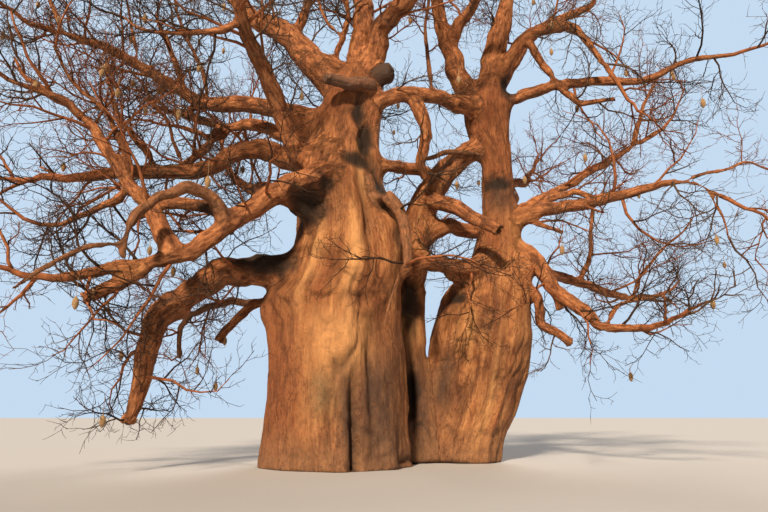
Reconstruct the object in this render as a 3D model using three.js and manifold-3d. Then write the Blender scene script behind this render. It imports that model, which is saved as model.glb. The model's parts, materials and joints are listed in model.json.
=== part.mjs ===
// A bare baobab in the dry season: a clump of three stems from one root, its boughs and broken
// stubs, and the masses of twigs that the boughs end in. It stands on level ground, on the flat cut
// under its stems, with the origin in the middle of the foot of the left stem, which is the largest.
// X runs to the right, Y to the back and Z up. Sizes are written in metres and built in millimetres.

import * as THREE from 'three';
import { mergeVertices } from 'three/addons/utils/BufferGeometryUtils.js';
import Module from 'manifold-3d';

const MM = 1000; // millimetres in a metre
const MERGE_DISTANCE = 1e-4; // corners nearer than this are one, in millimetres
const GAP = 0.0003; // clearance between neighbouring solids
const UP = new THREE.Vector3(0, 0, 1);
const DEGREE = Math.PI / 180;

const STEM_RINGS_PER_ROW = 1.5;
const THICK_BOUGH = { radius: 0.32, sides: 8 };
const THIN_BOUGH_SIDES = 6;
const BOUGH_RINGS_PER_RUN = 2;
const COLLAR_SWELL = 0.35; // how much wider a bough is where it leaves the wood it grows from
const COLLAR_LENGTH = 0.9; // how far up the bough that widening fades, in metres

// The colours of the bark, from the broad stems to the thin twigs.
const BARK_COLOURS = { stem: 0xb9784c, bough: 0xa4623f, stub: 0x8b6a55, twigs: 0x7f5238 };

// The stems. Each row gives a height, how far the middle of the stem lies to the right and to the
// back there, and its radius. Folds are waves round the stem: how many, how deep as a share of the
// radius, where the first lies and how far they turn with each metre of height, in degrees.
const STEMS = [
  {
    name: 'stem_left',
    sides: 20,
    level: true,
    rows: [
      [0, 0, 0, 2.4], [0.8, -0.02, 0, 2.3], [2.2, -0.07, 0, 2.25], [4.2, -0.14, 0, 2.17],
      [5.2, -0.14, 0, 2.2], [5.9, 0.12, 0, 1.92], [7.3, 0.16, 0, 1.63], [9.1, 0.05, 0, 1.46],
      [11, 0.12, 0, 1.24], [12.4, 0.37, 0.05, 1.02], [13.2, 0.45, 0.1, 0.86], [13.8, 0.5, 0.1, 0.5],
    ],
    folds: [[5, 0.03, 40, 6], [9, 0.02, 10, -9]],
  },
  {
    name: 'stem_right',
    sides: 18,
    level: true,
    rows: [
      [0, 4.1, 2, 1.4], [0.7, 4.2, 2, 1.38], [1.7, 4.5, 2, 1.55], [3, 4.75, 2, 1.76],
      [4.2, 4.93, 2, 1.79], [5.4, 5.12, 2, 1.66], [6.15, 5.34, 2, 1.42], [6.75, 5.6, 2, 1.04],
      [7.9, 5.75, 2, 0.84], [9, 5.84, 2, 0.67], [10.8, 5.82, 2, 0.58], [11.9, 5.62, 2, 0.72],
      [13, 5.53, 2, 0.92], [14, 5.68, 2, 0.76], [14.5, 5.75, 2, 0.45],
    ],
    folds: [[4, 0.025, 70, 8], [7, 0.02, 30, -6]],
  },
  {
    name: 'stem_middle',
    sides: 12,
    level: false,
    rows: [
      [0, 2.6, 1.5, 1], [1.2, 2.55, 1.5, 0.8], [2.6, 2.45, 1.5, 0.64], [4, 2.35, 1.5, 0.56],
      [5.8, 2.42, 1.5, 0.56], [7.3, 2.6, 1.5, 0.56], [8.5, 2.82, 1.5, 0.55], [9.5, 3.2, 1.5, 0.5],
      [10.3, 3.75, 1.55, 0.46], [10.9, 4.3, 1.68, 0.44], [11.4, 4.95, 1.85, 0.42],
      [11.8, 5.5, 2, 0.4],
    ],
    folds: [[3, 0.06, 20, 10], [5, 0.03, 60, -12]],
  },
];

// The boughs. Each grows from a stem, at a height on it, or from a bough, so many runs along it.
// It has a base and a tip radius and a list of runs: heading in degrees, 0 to the right and 90 to
// the back, rise above level in degrees, and length. Twigs grow on from its tip as far as reach.
const BOUGHS = [
  {
    name: 'bough_fork_left', from: 'stem_left', at: 12.3, radii: [0.62, 0.24], reach: 6,
    runs: [[168, 52, 2.5], [160, 48, 2], [152, 38, 2], [154, 50, 2.3]],
  },
  {
    name: 'bough_fork_middle', from: 'stem_left', at: 12.6, radii: [0.56, 0.3], reach: 5.6,
    runs: [[32, 80, 1.5], [36, 84, 1.5], [102, 76, 1.6], [130, 76, 3]],
  },
  {
    name: 'bough_fork_right', from: 'stem_left', at: 12.4, radii: [0.44, 0.22], reach: 6.4, pods: 1,
    runs: [[342, 64, 1.8], [300, 62, 1], [312, 26, 0.9], [308, 8, 0.9], [298, 42, 2.3]],
  },
  {
    name: 'bough_rising', from: 'stem_left', at: 8.8, radii: [0.34, 0.16], reach: 6.4,
    runs: [[222, 32, 2.3], [242, 48, 2.2], [246, 36, 1.4], [256, 32, 0.9], [262, 48, 1.2]],
  },
  {
    name: 'bough_long', from: 'stem_left', at: 11.4, radii: [0.34, 0.09], reach: 4.6, pods: 2,
    runs: [[180, 16, 3.2], [170, 8, 2.1], [176, 30, 2], [192, 28, 2.1], [206, 8, 1.6], [222, -4, 1.2]],
  },
  {
    name: 'bough_upper_arch', from: 'stem_left', at: 10.9, radii: [0.3, 0.15], reach: 5.2,
    runs: [[164, 14, 2.4], [152, 26, 1.6], [156, 8, 1.4], [154, 24, 2.3]],
  },
  {
    name: 'bough_arch', from: 'stem_left', at: 9.7, radii: [0.4, 0.17], reach: 5.2,
    runs: [
      [198, 10, 1.9], [200, 12, 1], [200, -16, 0.9], [192, -36, 1.1], [190, -8, 1.3], [188, -4, 1.2],
      [190, -12, 1.2],
    ],
  },
  {
    name: 'bough_diagonal', from: 'stem_left', at: 9.6, radii: [0.44, 0.13], reach: 4.2,
    runs: [
      [250, -18, 1.7], [208, -30, 1.6], [210, -36, 1.1], [206, -42, 1.1], [202, -42, 1.2],
      [192, -20, 1.1], [194, -14, 1.1], [198, -16, 1.1],
    ],
  },
  {
    name: 'bough_hook', from: 'bough_diagonal', at: 3.9, radii: [0.2, 0.045],
    runs: [
      [236, 54, 0.8], [224, 14, 0.8], [212, -26, 0.8], [214, -40, 0.7], [240, -62, 0.7],
      [220, -72, 0.5], [200, -16, 0.9], [210, -34, 1], [206, -44, 0.9],
    ],
  },
  {
    name: 'bough_riser', from: 'bough_diagonal', at: 5.4, radii: [0.28, 0.14], reach: 5.6,
    runs: [[180, 60, 0.8], [180, 60, 0.9], [170, 48, 0.9], [174, 52, 1.4], [170, 56, 1], [180, 42, 0.8]],
  },
  {
    name: 'bough_low_left', from: 'stem_left', at: 6.2, radii: [0.6, 0.4],
    runs: [[196, -4, 1.8], [196, 0, 1.1], [194, -4, 0.8], [198, -32, 0.8], [202, -40, 1]],
  },
  {
    name: 'bough_low_left_drop', from: 'bough_low_left', at: 5, radii: [0.4, 0.17],
    runs: [[198, -48, 1], [210, -78, 1], [248, -84, 1], [228, -74, 1]],
  },
  {
    name: 'bough_arc', from: 'stem_left', at: 5.1, radii: [0.16, 0.09],
    runs: [[160, 4, 3], [164, 4, 1.1], [168, -16, 1.3], [158, -40, 0.7], [114, -84, 1.1]],
  },
  {
    name: 'stub_front', from: 'stem_left', at: 12.9, radii: [0.25, 0.16],
    runs: [[302, -12, 1.1], [216, -14, 1], [214, -4, 0.8]],
  },
  {
    name: 'stub_knob', from: 'stem_left', at: 12.9, radii: [0.3, 0.36],
    runs: [[338, 22, 1.1], [350, 10, 0.5]],
  },
  {
    name: 'bough_link', from: 'stem_left', at: 12, radii: [0.27, 0.26],
    runs: [[336, 12, 1.3], [350, 14, 0.7], [24, 10, 1], [34, 8, 0.7], [48, 0, 1.1]],
  },
  {
    name: 'bough_elbow', from: 'stem_left', at: 8.9, radii: [0.27, 0.1],
    runs: [[318, -14, 2], [318, -48, 1.1], [300, -74, 0.9], [284, -82, 0.7], [204, -40, 0.3]],
  },
  {
    name: 'stub_broken', from: 'stem_middle', at: 9.2, radii: [0.3, 0.22],
    runs: [[278, -14, 0.5], [314, -26, 1], [334, -32, 1], [334, -32, 1.1]],
  },
  {
    name: 'bough_twin_left', from: 'stem_right', at: 12.8, radii: [0.46, 0.19], reach: 5.4,
    runs: [[196, 52, 1.8], [218, 68, 0.9], [208, 68, 1.1], [216, 76, 1.4], [228, 80, 1.9]],
  },
  {
    name: 'bough_twin_right', from: 'bough_twin_left', at: 2.5, radii: [0.24, 0.14], reach: 5.8,
    runs: [[308, 48, 0.9], [308, 28, 0.9], [290, 26, 1.8]],
  },
  {
    name: 'bough_top', from: 'stem_right', at: 13.6, radii: [0.58, 0.2], reach: 5.2,
    runs: [[0, 82, 1.7], [0, 74, 1.2], [16, 76, 1.5], [26, 76, 2.1]],
  },
  {
    name: 'bough_top_right', from: 'stem_right', at: 13.4, radii: [0.36, 0.15], reach: 5.8, pods: 2,
    runs: [[22, 60, 2.7], [34, 52, 1.7], [32, 38, 2.4], [30, 34, 2.4]],
  },
  {
    name: 'bough_top_fall', from: 'stem_right', at: 13.9, radii: [0.28, 0.09], reach: 4.2,
    runs: [[330, 52, 2.3], [332, 14, 0.8], [322, -12, 1.1], [320, -52, 0.9], [316, -64, 2.1]],
  },
  {
    name: 'bough_right_high', from: 'stem_right', at: 13.1, radii: [0.27, 0.07], reach: 4.4, pods: 3,
    runs: [[342, 18, 1.3], [340, 8, 1.5], [340, -4, 1.5], [336, -12, 1.5], [330, 12, 1.6], [328, -8, 1.4]],
  },
  {
    name: 'bough_right_rising', from: 'stem_right', at: 8.5, radii: [0.21, 0.08], reach: 4.2, pods: 2,
    runs: [[350, 30, 1.3], [26, 30, 3.2], [26, 32, 3.2], [20, 32, 2.4]],
  },
  {
    name: 'bough_right_level', from: 'stem_right', at: 8.3, radii: [0.3, 0.07], reach: 4,
    runs: [
      [328, 16, 1.4], [332, 2, 1.3], [326, 2, 1], [326, 2, 1.1], [326, 6, 0.7], [312, -6, 1.2],
      [314, -38, 1.4],
    ],
  },
  {
    name: 'bough_low_right', from: 'stem_right', at: 7.8, radii: [0.36, 0.11], reach: 3.2,
    runs: [[328, -32, 1.4], [312, -52, 1], [296, -52, 0.9], [312, -38, 1.4], [292, -38, 0.8], [312, -6, 1.5]],
  },
  {
    name: 'bough_behind_right', from: 'stem_right', at: 7.1, radii: [0.26, 0.12], reach: 3.8,
    runs: [[32, -4, 1.9], [28, -8, 2.5], [30, -8, 2.3], [26, 4, 1.8]],
  },
  {
    name: 'bough_drop_right', from: 'stem_right', at: 6.3, radii: [0.21, 0.14],
    runs: [
      [328, -16, 1.4], [2, -36, 0.4], [314, -76, 0.5], [316, -88, 0.6], [348, -30, 0.6],
      [350, -40, 0.6],
    ],
  },
  {
    name: 'bough_shelf', from: 'stem_right', at: 6.7, radii: [0.3, 0.22],
    runs: [[238, -8, 1.6], [204, -2, 1.1], [208, 2, 0.9], [212, -18, 0.6]],
  },
  {
    name: 'bough_back_low', from: 'stem_left', at: 7.6, radii: [0.44, 0.18], reach: 6,
    runs: [[74, 10, 2.8], [58, 20, 2.2], [82, 4, 2.2], [66, 20, 1.8]],
  },
  {
    name: 'bough_back_left', from: 'stem_left', at: 8.6, radii: [0.42, 0.16], reach: 6.4,
    runs: [[128, 12, 2.6], [142, 30, 2.4], [120, 16, 2.4], [132, 34, 2.2]],
  },
  {
    name: 'bough_back_high', from: 'stem_left', at: 11.2, radii: [0.38, 0.15], reach: 6.4,
    runs: [[82, 28, 2.4], [98, 42, 2.4], [78, 22, 2.4], [90, 36, 2]],
  },
  {
    name: 'bough_back_right', from: 'stem_right', at: 9.4, radii: [0.34, 0.14], reach: 6,
    runs: [[66, 20, 2.4], [82, 34, 2.4], [58, 18, 2.4], [70, 32, 1.8]],
  },
];

// The masses of twigs. A twig is crooked, turns up a little, and bears shorter and thinner twigs on
// alternate sides. One rule makes every level, from the stem of a mass to its outermost twigs.
const TWIG_LEVELS = [
  { steps: 3, sides: 4, children: 4 },
  { steps: 2, sides: 3, children: 3 },
  { steps: 1, sides: 3, children: 0 },
];
const TWIG_STEM_SHARE = 0.58; // length of a mass's stem, as a share of its reach
const TWIG_SPACE_MIDDLE = 0.5; // where the middle of the mass's round space lies, as a share of reach
const TWIG_SPACE_RADIUS = 0.62; // the radius of that space, as a share of reach
const TWIG_CHILD_PLACES = [0.28, 0.97]; // where along a twig its first and last side twigs grow
const TWIG_CHILD_LENGTHS = [0.82, 0.48]; // a side twig's share of its parent's length, foot and tip
const TWIG_CHANCE = [0.85, 1.15]; // how much that length varies by chance
const TWIG_TAPER = 0.45; // radius at a twig's tip, as a share of its base
const TWIG_THINNING = 0.62; // a side twig's base, as a share of the twig it grows from there
const TWIG_TURN = [34, 62]; // how far a side twig turns from its parent, in degrees
const TWIG_SIDE_STEP = [140, 220]; // how far round its parent each side twig is from the last
const TWIG_CROOK = [7, 17]; // how far a twig bends at each step, in degrees
const TWIG_LIFT = 0.14; // how strongly each step turns up
const TWIG_CLEARANCE = 0.03; // the least room between a twig and other wood
const MIN_HEIGHT = 1.2; // no twig hangs lower than this
const END_TWIG_RADIUS = 0.026; // no twig is thinner at its base

// The fruit: a woody pod on a straight stalk.
const POD = {
  place: 0.8, // how far along the last step of its twig it hangs
  stalk: 0.32,
  stalkRadius: 0.014,
  length: 0.26,
  radius: 0.075,
  shoulders: [0.3, 0.7], // where along it the pod reaches its full radius
  sides: 5,
};
const FIRST_SEED = 1009; // the seed of the first mass, and the step to the next

const wasm = await Module();
wasm.setup();

// A number between low and high, the same sequence for the same seed.
function seededRandom(seed) {
  let state = seed;
  const next = (low, high) => {
    state = (state * 48271) % 2147483647;
    return low + ((high - low) * state) / 2147483647;
  };
  next(0, 1);
  next(0, 1);
  return next;
}

function childSeed(seed, index) {
  return (seed * 7919 + 104729 * (index + 1)) % 2147483647;
}

function direction(heading, rise) {
  const level = Math.cos(rise * DEGREE);
  return new THREE.Vector3(
    level * Math.cos(heading * DEGREE),
    level * Math.sin(heading * DEGREE),
    Math.sin(rise * DEGREE),
  );
}

// A smooth curve through the points, whose parameter runs evenly from point to point.
function smoothCurve(points) {
  return new THREE.CatmullRomCurve3(points, false, 'catmullrom', 0.5);
}

// The value at a place along a list of numbers, 0 for the first and 1 for the last.
function valueAlong(values, place) {
  const scaled = THREE.MathUtils.clamp(place, 0, 1) * (values.length - 1);
  const index = Math.min(Math.floor(scaled), values.length - 2);
  return THREE.MathUtils.lerp(values[index], values[index + 1], scaled - index);
}

// Two directions across each tangent, carried along without twisting. The first is level, or
// points to the right where the first tangent is nearly upright.
const NEARLY_UPRIGHT = 0.1;

function crossDirections(tangents) {
  const pairs = [];
  let across = new THREE.Vector3().crossVectors(UP, tangents[0]);
  if (across.length() < NEARLY_UPRIGHT) across.set(1, 0, 0);
  for (const tangent of tangents) {
    across = across.clone().addScaledVector(tangent, -across.dot(tangent)).normalize();
    pairs.push([across, new THREE.Vector3().crossVectors(tangent, across)]);
  }
  return pairs;
}

// A closed skin over rings of points. Rings run from the foot to the tip, each counterclockwise
// as seen from the tip. It ends flat on the last ring, or in a point past it.
function skin(rings, point = null) {
  const sides = rings[0].length;
  const corners = point ? [...rings.flat(), point] : rings.flat();
  const positions = corners.flatMap((corner) => [corner.x * MM, corner.y * MM, corner.z * MM]);
  const faces = [];
  for (let ring = 0; ring + 1 < rings.length; ring += 1) {
    for (let side = 0; side < sides; side += 1) {
      const a = ring * sides + side;
      const b = ring * sides + ((side + 1) % sides);
      faces.push(a, b, b + sides, a, b + sides, a + sides);
    }
  }
  const last = (rings.length - 1) * sides;
  for (let side = 1; side + 1 < sides; side += 1) {
    faces.push(0, side + 1, side);
    if (!point) faces.push(last, last + side, last + side + 1);
  }
  for (let side = 0; point && side < sides; side += 1) {
    faces.push(last + side, last + ((side + 1) % sides), last + sides);
  }
  const geometry = new THREE.BufferGeometry();
  geometry.setAttribute('position', new THREE.Float32BufferAttribute(positions, 3));
  geometry.setIndex(faces);
  return geometry;
}

function ringAround(centre, across, other, sides, radiusAt) {
  const ring = [];
  for (let side = 0; side < sides; side += 1) {
    const angle = (2 * Math.PI * side) / sides;
    const radius = radiusAt(angle);
    ring.push(
      centre.clone()
        .addScaledVector(across, radius * Math.cos(angle))
        .addScaledVector(other, radius * Math.sin(angle)),
    );
  }
  return ring;
}

function toSolid(geometry) {
  const bare = geometry.clone();
  bare.deleteAttribute('normal');
  bare.deleteAttribute('uv');
  const merged = mergeVertices(bare, MERGE_DISTANCE);
  return new wasm.Manifold(new wasm.Mesh({
    numProp: 3,
    vertProperties: new Float32Array(merged.attributes.position.array),
    triVerts: new Uint32Array(merged.index.array),
  }));
}

function toGeometry(solid) {
  const mesh = solid.getMesh();
  const geometry = new THREE.BufferGeometry();
  geometry.setAttribute('position', new THREE.Float32BufferAttribute(mesh.vertProperties, 3));
  geometry.setIndex(Array.from(mesh.triVerts));
  const faceted = geometry.toNonIndexed();
  faceted.computeVertexNormals();
  return faceted;
}

// The largest of a solid's separate bodies.
function largestBody(solid) {
  const bodies = solid.decompose();
  bodies.sort((a, b) => b.volume() - a.volume());
  return bodies[0];
}

// The share that the folds add to a stem's radius at an angle and a height.
function foldShare(folds, angle, height) {
  let share = 1;
  for (const [count, depth, start, turn] of folds) {
    share += depth * Math.cos(count * angle + (start + turn * height) * DEGREE);
  }
  return share;
}

// A stem's rings are level, or square to its middle line where it leans over. Grown is how much
// thicker than life it is made, for cutting its neighbours clear of it.
function stemSolid(stem, grown) {
  const curve = smoothCurve(stem.rows.map(([z, x, y]) => new THREE.Vector3(x, y, z)));
  const radii = stem.rows.map((row) => row[3]);
  const ringCount = Math.round((stem.rows.length - 1) * STEM_RINGS_PER_ROW) + 1;
  const places = Array.from({ length: ringCount }, (_, index) => index / (ringCount - 1));
  const tangents = places.map((place) => (stem.level || place === 0 ? UP : curve.getTangent(place)));
  const pairs = crossDirections(tangents);
  const rings = places.map((place, index) => {
    const centre = curve.getPoint(place);
    const radius = valueAlong(radii, place) + grown;
    const radiusAt = (angle) => radius * foldShare(stem.folds, angle, centre.z);
    return ringAround(centre, ...pairs[index], stem.sides, radiusAt);
  });
  return toSolid(skin(rings));
}

// The points that a bough's runs lead through, from its place inside the wood it grows from.
function boughPoints(bough, start) {
  const points = [start];
  for (const [heading, rise, length] of bough.runs) {
    points.push(points.at(-1).clone().addScaledVector(direction(heading, rise), length));
  }
  return points;
}

function boughRadius(bough, place, length) {
  const [base, tip] = bough.radii;
  const collar = 1 + COLLAR_SWELL * Math.exp((-place * length) / COLLAR_LENGTH);
  return THREE.MathUtils.lerp(base, tip, place) * collar;
}

function boughSolid(bough, curve, grown) {
  const ringCount = bough.runs.length * BOUGH_RINGS_PER_RUN + 1;
  const sides = bough.radii[0] < THICK_BOUGH.radius ? THIN_BOUGH_SIDES : THICK_BOUGH.sides;
  const length = curve.getLength();
  const places = Array.from({ length: ringCount }, (_, index) => index / (ringCount - 1));
  const pairs = crossDirections(places.map((place) => curve.getTangent(place)));
  const rings = places.map((place, index) => {
    const radius = boughRadius(bough, place, length) + grown;
    const centre = curve.getPoint(place);
    if (place === 1) centre.addScaledVector(curve.getTangent(1), grown);
    return ringAround(centre, ...pairs[index], sides, () => radius);
  });
  return toSolid(skin(rings));
}

// Wood that twigs keep clear of, as short straight lengths with a radius.
const STEM_WOOD_STEPS = 30;
const WOOD_STEPS = 3; // lengths for each run of a bough, and for each twig
const FOLD_ROOM = 1.08; // how far the folds of a stem stand out past its radius
const wood = [];

function recordWood(curve, steps, radiusAt, owner) {
  for (let step = 0; step < steps; step += 1) {
    wood.push({
      line: new THREE.Line3(curve.getPoint(step / steps), curve.getPoint((step + 1) / steps)),
      radius: Math.max(radiusAt(step / steps), radiusAt((step + 1) / steps)),
      owner,
    });
  }
}

// The least distance between two straight lengths.
function lineDistance(first, second) {
  const a = first.delta(new THREE.Vector3());
  const b = second.delta(new THREE.Vector3());
  const between = new THREE.Vector3().subVectors(first.start, second.start);
  const aa = a.dot(a);
  const bb = b.dot(b);
  const ab = a.dot(b);
  const across = aa * bb - ab * ab;
  const clamp = THREE.MathUtils.clamp;
  let s = across > 1e-9 ? clamp((ab * b.dot(between) - bb * a.dot(between)) / across, 0, 1) : 0;
  const t = clamp((ab * s + b.dot(between)) / bb, 0, 1);
  s = clamp((ab * t - a.dot(between)) / aa, 0, 1);
  return between.addScaledVector(a, s).addScaledVector(b, -t).length();
}

function touchesWood(points, radius, owner) {
  for (let index = 0; index + 1 < points.length; index += 1) {
    const line = new THREE.Line3(points[index], points[index + 1]);
    for (const piece of wood) {
      if (piece.owner === owner) continue;
      if (lineDistance(line, piece.line) < radius + piece.radius + TWIG_CLEARANCE) return true;
    }
  }
  return false;
}

function insideSpace(points, space) {
  return points.every(
    (point) => point.distanceTo(space.middle) < space.radius && point.z > MIN_HEIGHT,
  );
}

// The direction turned away from itself by an angle, towards a side given by a second angle.
function turned(heading, angle, side) {
  const [[across, other]] = crossDirections([heading]);
  return heading.clone().multiplyScalar(Math.cos(angle * DEGREE))
    .addScaledVector(across, Math.sin(angle * DEGREE) * Math.cos(side * DEGREE))
    .addScaledVector(other, Math.sin(angle * DEGREE) * Math.sin(side * DEGREE))
    .normalize();
}

// One twig and, by the same rule, the twigs on it. Each twig draws from a sequence of its own, so
// a twig that is skipped changes no other.
function growTwig(twigs, space, start, heading, length, radius, level, seed) {
  const rule = TWIG_LEVELS[level];
  const random = seededRandom(seed);
  const points = [start];
  const headings = [];
  let course = heading;
  for (let step = 0; step < rule.steps; step += 1) {
    course = turned(course, random(...TWIG_CROOK), random(0, 360));
    course = course.clone().addScaledVector(UP, TWIG_LIFT).normalize();
    headings.push(course);
    points.push(points.at(-1).clone().addScaledVector(course, length / rule.steps));
  }
  const base = Math.max(radius, END_TWIG_RADIUS);
  const tested = level === 0 ? points.slice(1) : points;
  const seat = level === 0 ? space.name : null;
  if (!insideSpace(tested, space) || touchesWood(tested, base, seat)) return;
  twigs.push({ points, foot: heading, radii: [base, base * TWIG_TAPER], sides: rule.sides });
  let side = random(0, 360);
  for (let child = 0; child < rule.children; child += 1) {
    const place = THREE.MathUtils.lerp(...TWIG_CHILD_PLACES, child / (rule.children - 1));
    const along = place * rule.steps;
    const index = Math.min(Math.floor(along), rule.steps - 1);
    const from = points[index].clone().lerp(points[index + 1], along - index);
    side += random(...TWIG_SIDE_STEP);
    const way = turned(headings[index], random(...TWIG_TURN), side);
    const thickness = base * THREE.MathUtils.lerp(1, TWIG_TAPER, place) * TWIG_THINNING;
    const share = THREE.MathUtils.lerp(...TWIG_CHILD_LENGTHS, place) * random(...TWIG_CHANCE);
    growTwig(twigs, space, from, way, length * share, thickness, level + 1, childSeed(seed, child));
  }
}

function twigSolid(twig) {
  const tangents = [twig.foot];
  for (let index = 1; index + 1 < twig.points.length; index += 1) {
    tangents.push(twig.points[index + 1].clone().sub(twig.points[index - 1]).normalize());
  }
  const pairs = crossDirections(tangents);
  const rings = twig.points.slice(0, -1).map((point, index) => {
    const radius = valueAlong(twig.radii, index / (twig.points.length - 1));
    return ringAround(point, ...pairs[index], twig.sides, () => radius);
  });
  return toSolid(skin(rings, twig.points.at(-1)));
}

// A pod and its stalk, hanging straight down from near the tip of a twig, sunk into it.
function podSolid(twig) {
  const tip = twig.points.at(-2).clone().lerp(twig.points.at(-1), POD.place);
  const top = tip.z - POD.stalk;
  const profile = [
    [tip.z + POD.stalkRadius, POD.stalkRadius],
    [top, POD.stalkRadius],
    ...POD.shoulders.map((share) => [top - POD.length * share, POD.radius]),
    [top - POD.length, POD.stalkRadius],
  ];
  const rings = profile.map(([height, radius]) => ringAround(
    new THREE.Vector3(tip.x, tip.y, height),
    new THREE.Vector3(1, 0, 0),
    new THREE.Vector3(0, -1, 0),
    POD.sides,
    () => radius,
  ));
  return toSolid(skin(rings));
}

// The twigs that grow on from a bough's tip, and the pods that hang from the last of them.
function twigMass(bough, curve, seed) {
  const heading = curve.getTangent(1);
  const start = curve.getPoint(1).addScaledVector(heading, GAP);
  const space = {
    name: bough.name,
    middle: start.clone().addScaledVector(heading, bough.reach * TWIG_SPACE_MIDDLE),
    radius: bough.reach * TWIG_SPACE_RADIUS,
  };
  const twigs = [];
  const length = bough.reach * TWIG_STEM_SHARE;
  growTwig(twigs, space, start, heading, length, bough.radii[1] * 0.92, 0, seed);
  return { twigs, space };
}

const materials = {};
for (const [kind, colour] of Object.entries(BARK_COLOURS)) {
  materials[kind] = new THREE.MeshStandardMaterial({ color: colour, roughness: 0.9, metalness: 0 });
}

const tree = new THREE.Group();

function addNode(name, solid) {
  const mesh = new THREE.Mesh(toGeometry(solid), materials[name.split('_')[0]]);
  mesh.name = name;
  tree.add(mesh);
}

// Solids made a little thicker than life, each with its box, for cutting later ones clear.
const cutters = [];

function cutClear(solid) {
  let result = solid;
  for (const cutter of cutters) {
    if (!result.intersect(cutter).isEmpty()) result = result.subtract(cutter);
  }
  return largestBody(result);
}

const stems = new Map();
for (const stem of STEMS) {
  addNode(stem.name, cutClear(stemSolid(stem, 0)));
  cutters.push(stemSolid(stem, GAP));
  const curve = smoothCurve(stem.rows.map(([z, x, y]) => new THREE.Vector3(x, y, z)));
  const radii = stem.rows.map((row) => row[3]);
  stems.set(stem.name, stem);
  recordWood(curve, STEM_WOOD_STEPS, (place) => valueAlong(radii, place) * FOLD_ROOM, stem.name);
}

// The point on a stem's middle line at a height.
function stemPoint(stem, height) {
  const index = stem.rows.findIndex((row) => row[0] > height);
  const below = stem.rows[index - 1];
  const above = stem.rows[index];
  const share = (height - below[0]) / (above[0] - below[0]);
  const x = THREE.MathUtils.lerp(below[1], above[1], share);
  const y = THREE.MathUtils.lerp(below[2], above[2], share);
  return new THREE.Vector3(x, y, height);
}

const boughCurves = new Map();
for (const bough of BOUGHS) {
  const stem = stems.get(bough.from);
  const parent = boughCurves.get(bough.from);
  const start = stem ? stemPoint(stem, bough.at) : parent.getPoint(bough.at / (parent.points.length - 1));
  const curve = smoothCurve(boughPoints(bough, start));
  const length = curve.getLength();
  boughCurves.set(bough.name, curve);
  addNode(bough.name, cutClear(boughSolid(bough, curve, 0)));
  cutters.push(boughSolid(bough, curve, GAP));
  recordWood(curve, bough.runs.length * WOOD_STEPS, (place) => boughRadius(bough, place, length), bough.name);
}

BOUGHS.filter((bough) => bough.reach).forEach((bough, index) => {
  const { twigs, space } = twigMass(bough, boughCurves.get(bough.name), FIRST_SEED * (index + 1));
  let solid = twigSolid(twigs[0]);
  for (const twig of twigs.slice(1)) solid = solid.add(twigSolid(twig));
  for (const twig of twigs.slice(twigs.length - (bough.pods ?? 0))) {
    solid = solid.add(podSolid(twig));
  }
  addNode(bough.name.replace('bough', 'twigs'), solid);
  for (const twig of twigs) {
    recordWood(smoothCurve(twig.points), WOOD_STEPS, () => twig.radii[0], space.name);
  }
});

export default tree;
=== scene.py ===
"""Looks of a bare baobab: bark relief on its stems and boughs, its twigs and its fruit.

Sizes are in metres. X runs to the right, Y to the back and Z up, from the foot of the left stem.
The limbs and the coarse twigs follow the same tables and the same rule as the solids they stand for.
"""

import json
import math

import bpy
import numpy as np
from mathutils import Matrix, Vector, kdtree

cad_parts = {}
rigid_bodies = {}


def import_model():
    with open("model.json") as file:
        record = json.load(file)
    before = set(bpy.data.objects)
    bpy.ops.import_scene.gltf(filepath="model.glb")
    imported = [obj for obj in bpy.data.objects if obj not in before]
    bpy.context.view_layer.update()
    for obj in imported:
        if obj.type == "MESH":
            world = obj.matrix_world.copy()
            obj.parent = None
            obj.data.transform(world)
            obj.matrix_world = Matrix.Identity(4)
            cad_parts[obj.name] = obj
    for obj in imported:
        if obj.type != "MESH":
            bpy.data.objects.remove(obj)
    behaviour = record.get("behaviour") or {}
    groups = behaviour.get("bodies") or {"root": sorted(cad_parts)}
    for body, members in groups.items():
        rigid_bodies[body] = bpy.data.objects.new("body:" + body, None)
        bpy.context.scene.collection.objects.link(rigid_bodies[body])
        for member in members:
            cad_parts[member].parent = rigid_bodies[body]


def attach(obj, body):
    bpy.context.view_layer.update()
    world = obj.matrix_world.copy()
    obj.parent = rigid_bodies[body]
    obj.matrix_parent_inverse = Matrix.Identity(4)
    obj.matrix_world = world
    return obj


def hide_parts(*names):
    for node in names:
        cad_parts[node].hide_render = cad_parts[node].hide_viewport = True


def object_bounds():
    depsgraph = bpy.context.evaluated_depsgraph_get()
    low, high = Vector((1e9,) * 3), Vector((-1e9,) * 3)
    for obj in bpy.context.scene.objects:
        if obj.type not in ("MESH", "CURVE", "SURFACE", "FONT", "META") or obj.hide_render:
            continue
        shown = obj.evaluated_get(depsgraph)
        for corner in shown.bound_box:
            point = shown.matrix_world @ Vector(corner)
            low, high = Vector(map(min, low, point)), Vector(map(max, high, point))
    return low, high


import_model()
cad_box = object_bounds()

# The camera of the photograph, from its horizon and the people at the foot of the tree.
PICTURE_WIDTH = 768
PICTURE_HEIGHT = 512
HORIZON_ROW = 413
LENS_PIXELS = 640
SENSOR = 36.0
CAMERA_PLACE = (1.5, -21.0, 1.6)

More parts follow.
